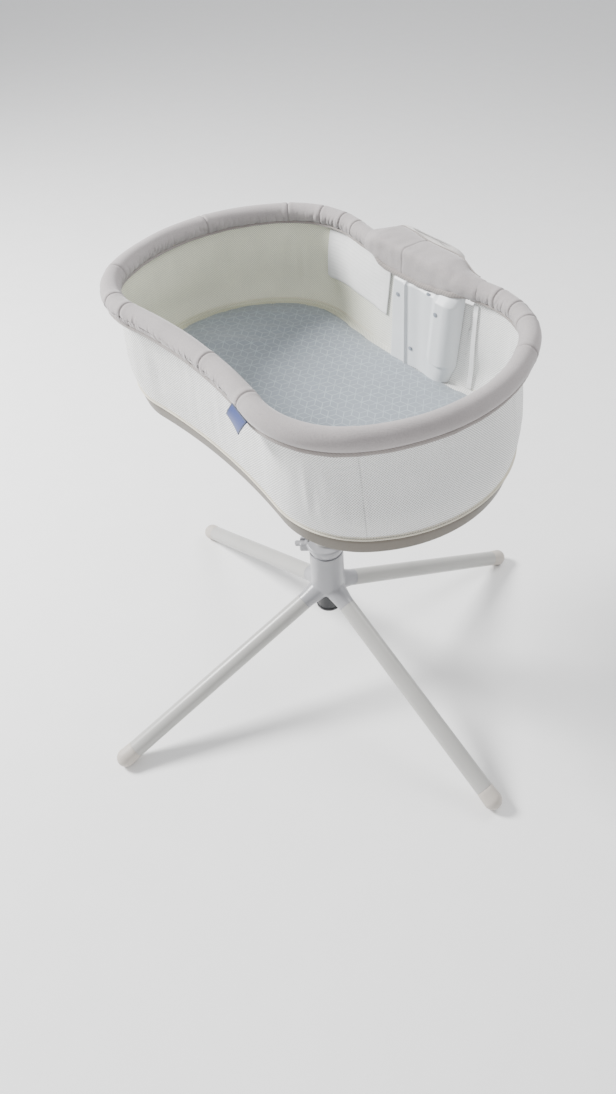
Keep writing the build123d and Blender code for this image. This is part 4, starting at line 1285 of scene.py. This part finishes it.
# ---------------------------------------------------------------- stage
def make_stage():
    """Plain pale floor, soft studio light and the camera."""
    c = settings()[0]
    bm = bmesh.new()
    bmesh.ops.create_grid(bm, x_segments=1, y_segments=1, size=14)
    floor = piece("floor", bm, hard_finish("Studio floor", c.floor, 0.7, 2 * MM, 0.01 * MM, spread=0.01),
                  None)
    world = bpy.data.worlds.new("Studio")
    bpy.context.scene.world = world
    world.use_nodes = True
    world.node_tree.nodes["Background"].inputs["Color"].default_value = srgb("F7F8FB")
    world.node_tree.nodes["Background"].inputs["Strength"].default_value = 0.85
    lamps = (("Key", (-2.9, -2.0, 3.2), 1.3, 480), ("Fill", (2.4, -2.6, 2.4), 2.6, 12),
             ("Back", (0.4, 2.8, 3.0), 2.0, 70))
    for name, spot, size, power in lamps:
        light = bpy.data.lights.new(name, "AREA")
        light.shape = "DISK"
        light.size = size
        light.energy = power
        lamp = bpy.data.objects.new(name, light)
        lamp.location = spot
        lamp.rotation_mode = "QUATERNION"
        lamp.rotation_quaternion = (Vector((0, 0, 0.7)) - Vector(spot)).to_track_quat("-Z", "Y")
        bpy.context.scene.collection.objects.link(lamp)
    camera = bpy.data.cameras.new("Camera")
    camera.lens = 27.2
    camera.shift_x, camera.shift_y = -0.0638, -0.0730
    eye = bpy.data.objects.new("Camera", camera)
    azimuth, elevation = math.radians(48.01), math.radians(41.15)
    forward = Vector((-math.sin(azimuth) * math.cos(elevation), math.cos(azimuth) * math.cos(elevation),
                      -math.sin(elevation)))
    right = Vector((math.cos(azimuth), math.sin(azimuth), 0))
    eye.matrix_world = Matrix.Translation((1.0957, -0.8201, 1.8563)) @ Matrix(
        (right, right.cross(forward), -forward)).transposed().to_4x4()
    bpy.context.scene.collection.objects.link(eye)
    bpy.context.scene.camera = eye


def finish_frame():
    """Gives every CAD node that stays visible or hidden its own finish."""
    slots = {part["node"]: part["material_slot"] for part in frame["record"]["subparts"]}
    for name, node in frame["nodes"].items():
        node.data.materials.clear()
        node.data.materials.append(finish(slots[name]))


# ---------------------------------------------------------------- operators
class BASSINET_OT_stage(bpy.types.Operator):
    """Adds the floor, the lights and the camera"""
    bl_idname = "bassinet.stage"
    bl_label = "Stage"
    bl_options = {"REGISTER", "UNDO"}

    def execute(self, context):
        make_stage()
        return {"FINISHED"}


class BASSINET_OT_frame_finishes(bpy.types.Operator):
    """Gives the legs, the column and the other fixed parts their finishes"""
    bl_idname = "bassinet.frame_finishes"
    bl_label = "Frame finishes"
    bl_options = {"REGISTER", "UNDO"}

    def execute(self, context):
        finish_frame()
        return {"FINISHED"}


class BASSINET_OT_feet(bpy.types.Operator):
    """Models the four foot caps and their soles"""
    bl_idname = "bassinet.feet"
    bl_label = "Feet"
    bl_options = {"REGISTER", "UNDO"}

    def execute(self, context):
        for number, angle in enumerate(LEG_ANGLES, 1):
            make_foot_cap(number, angle)
        make_soles()
        return {"FINISHED"}


class BASSINET_OT_hub(bpy.types.Operator):
    """Models the hub where the legs meet"""
    bl_idname = "bassinet.hub"
    bl_label = "Hub"
    bl_options = {"REGISTER", "UNDO"}

    def execute(self, context):
        make_hub()
        return {"FINISHED"}


class BASSINET_OT_collar(bpy.types.Operator):
    """Models the collar that carries the height lever"""
    bl_idname = "bassinet.collar"
    bl_label = "Lever collar"
    bl_options = {"REGISTER", "UNDO"}

    def execute(self, context):
        make_collar()
        return {"FINISHED"}


class BASSINET_OT_tray(bpy.types.Operator):
    """Models the moulded tray and its piping"""
    bl_idname = "bassinet.tray"
    bl_label = "Tray"
    bl_options = {"REGISTER", "UNDO"}

    def execute(self, context):
        make_tray()
        make_piping()
        return {"FINISHED"}


class BASSINET_OT_mattress(bpy.types.Operator):
    """Models the mattress in its fitted sheet"""
    bl_idname = "bassinet.mattress"
    bl_label = "Mattress"
    bl_options = {"REGISTER", "UNDO"}

    def execute(self, context):
        make_mattress()
        return {"FINISHED"}


class BASSINET_OT_wall(bpy.types.Operator):
    """Models the knitted wall and its lining"""
    bl_idname = "bassinet.wall"
    bl_label = "Mesh wall"
    bl_options = {"REGISTER", "UNDO"}

    def execute(self, context):
        make_wall()
        return {"FINISHED"}


class BASSINET_OT_rail(bpy.types.Operator):
    """Models the padded rail and the binding under it"""
    bl_idname = "bassinet.rail"
    bl_label = "Rail"
    bl_options = {"REGISTER", "UNDO"}

    def execute(self, context):
        make_rail_cover()
        make_rail_hems()
        return {"FINISHED"}


class BASSINET_OT_saddle(bpy.types.Operator):
    """Models the padded cover over the hinge"""
    bl_idname = "bassinet.saddle"
    bl_label = "Hinge saddle"
    bl_options = {"REGISTER", "UNDO"}

    def execute(self, context):
        make_saddle()
        return {"FINISHED"}


class BASSINET_OT_tower_back(bpy.types.Operator):
    """Models the padded cover behind the hinge"""
    bl_idname = "bassinet.tower_back"
    bl_label = "Tower back"
    bl_options = {"REGISTER", "UNDO"}

    def execute(self, context):
        make_tower_back()
        return {"FINISHED"}


class BASSINET_OT_panel(bpy.types.Operator):
    """Models the inner panel and its snap heads"""
    bl_idname = "bassinet.panel"
    bl_label = "Inner panel"
    bl_options = {"REGISTER", "UNDO"}

    def execute(self, context):
        make_inner_panel()
        make_snaps()
        return {"FINISHED"}


class BASSINET_OT_labels(bpy.types.Operator):
    """Models the sewn label, the tape and the side tab"""
    bl_idname = "bassinet.labels"
    bl_label = "Labels and tab"
    bl_options = {"REGISTER", "UNDO"}

    def execute(self, context):
        make_labels()
        make_tab()
        return {"FINISHED"}


class BASSINET_PT_panel(bpy.types.Panel):
    bl_label = "Bassinet on Stand"
    bl_space_type = "VIEW_3D"
    bl_region_type = "UI"
    bl_category = "Bassinet"

    def draw(self, context):
        for step in STEPS:
            self.layout.operator(step.bl_idname)
        for group in settings():
            column = self.layout.column()
            for name in group.__annotations__:
                column.prop(group, name)


STEPS = (
    BASSINET_OT_stage, BASSINET_OT_frame_finishes, BASSINET_OT_feet, BASSINET_OT_hub, BASSINET_OT_collar,
    BASSINET_OT_tray, BASSINET_OT_mattress, BASSINET_OT_wall, BASSINET_OT_rail, BASSINET_OT_saddle,
    BASSINET_OT_tower_back, BASSINET_OT_panel, BASSINET_OT_labels,
)
CLASSES = (BassinetColours, BassinetSizes, *STEPS, BASSINET_PT_panel)


def register():
    for cls in CLASSES:
        bpy.utils.register_class(cls)
    bpy.types.Scene.bassinet_colours = PointerProperty(type=BassinetColours)
    bpy.types.Scene.bassinet_sizes = PointerProperty(type=BassinetSizes)


def unregister():
    del bpy.types.Scene.bassinet_sizes
    del bpy.types.Scene.bassinet_colours
    for cls in reversed(CLASSES):
        bpy.utils.unregister_class(cls)


def main():
    register()
    for step in STEPS:
        group, name = step.bl_idname.split(".")
        getattr(getattr(bpy.ops, group), name)()


if __name__ == "__main__":
    main()
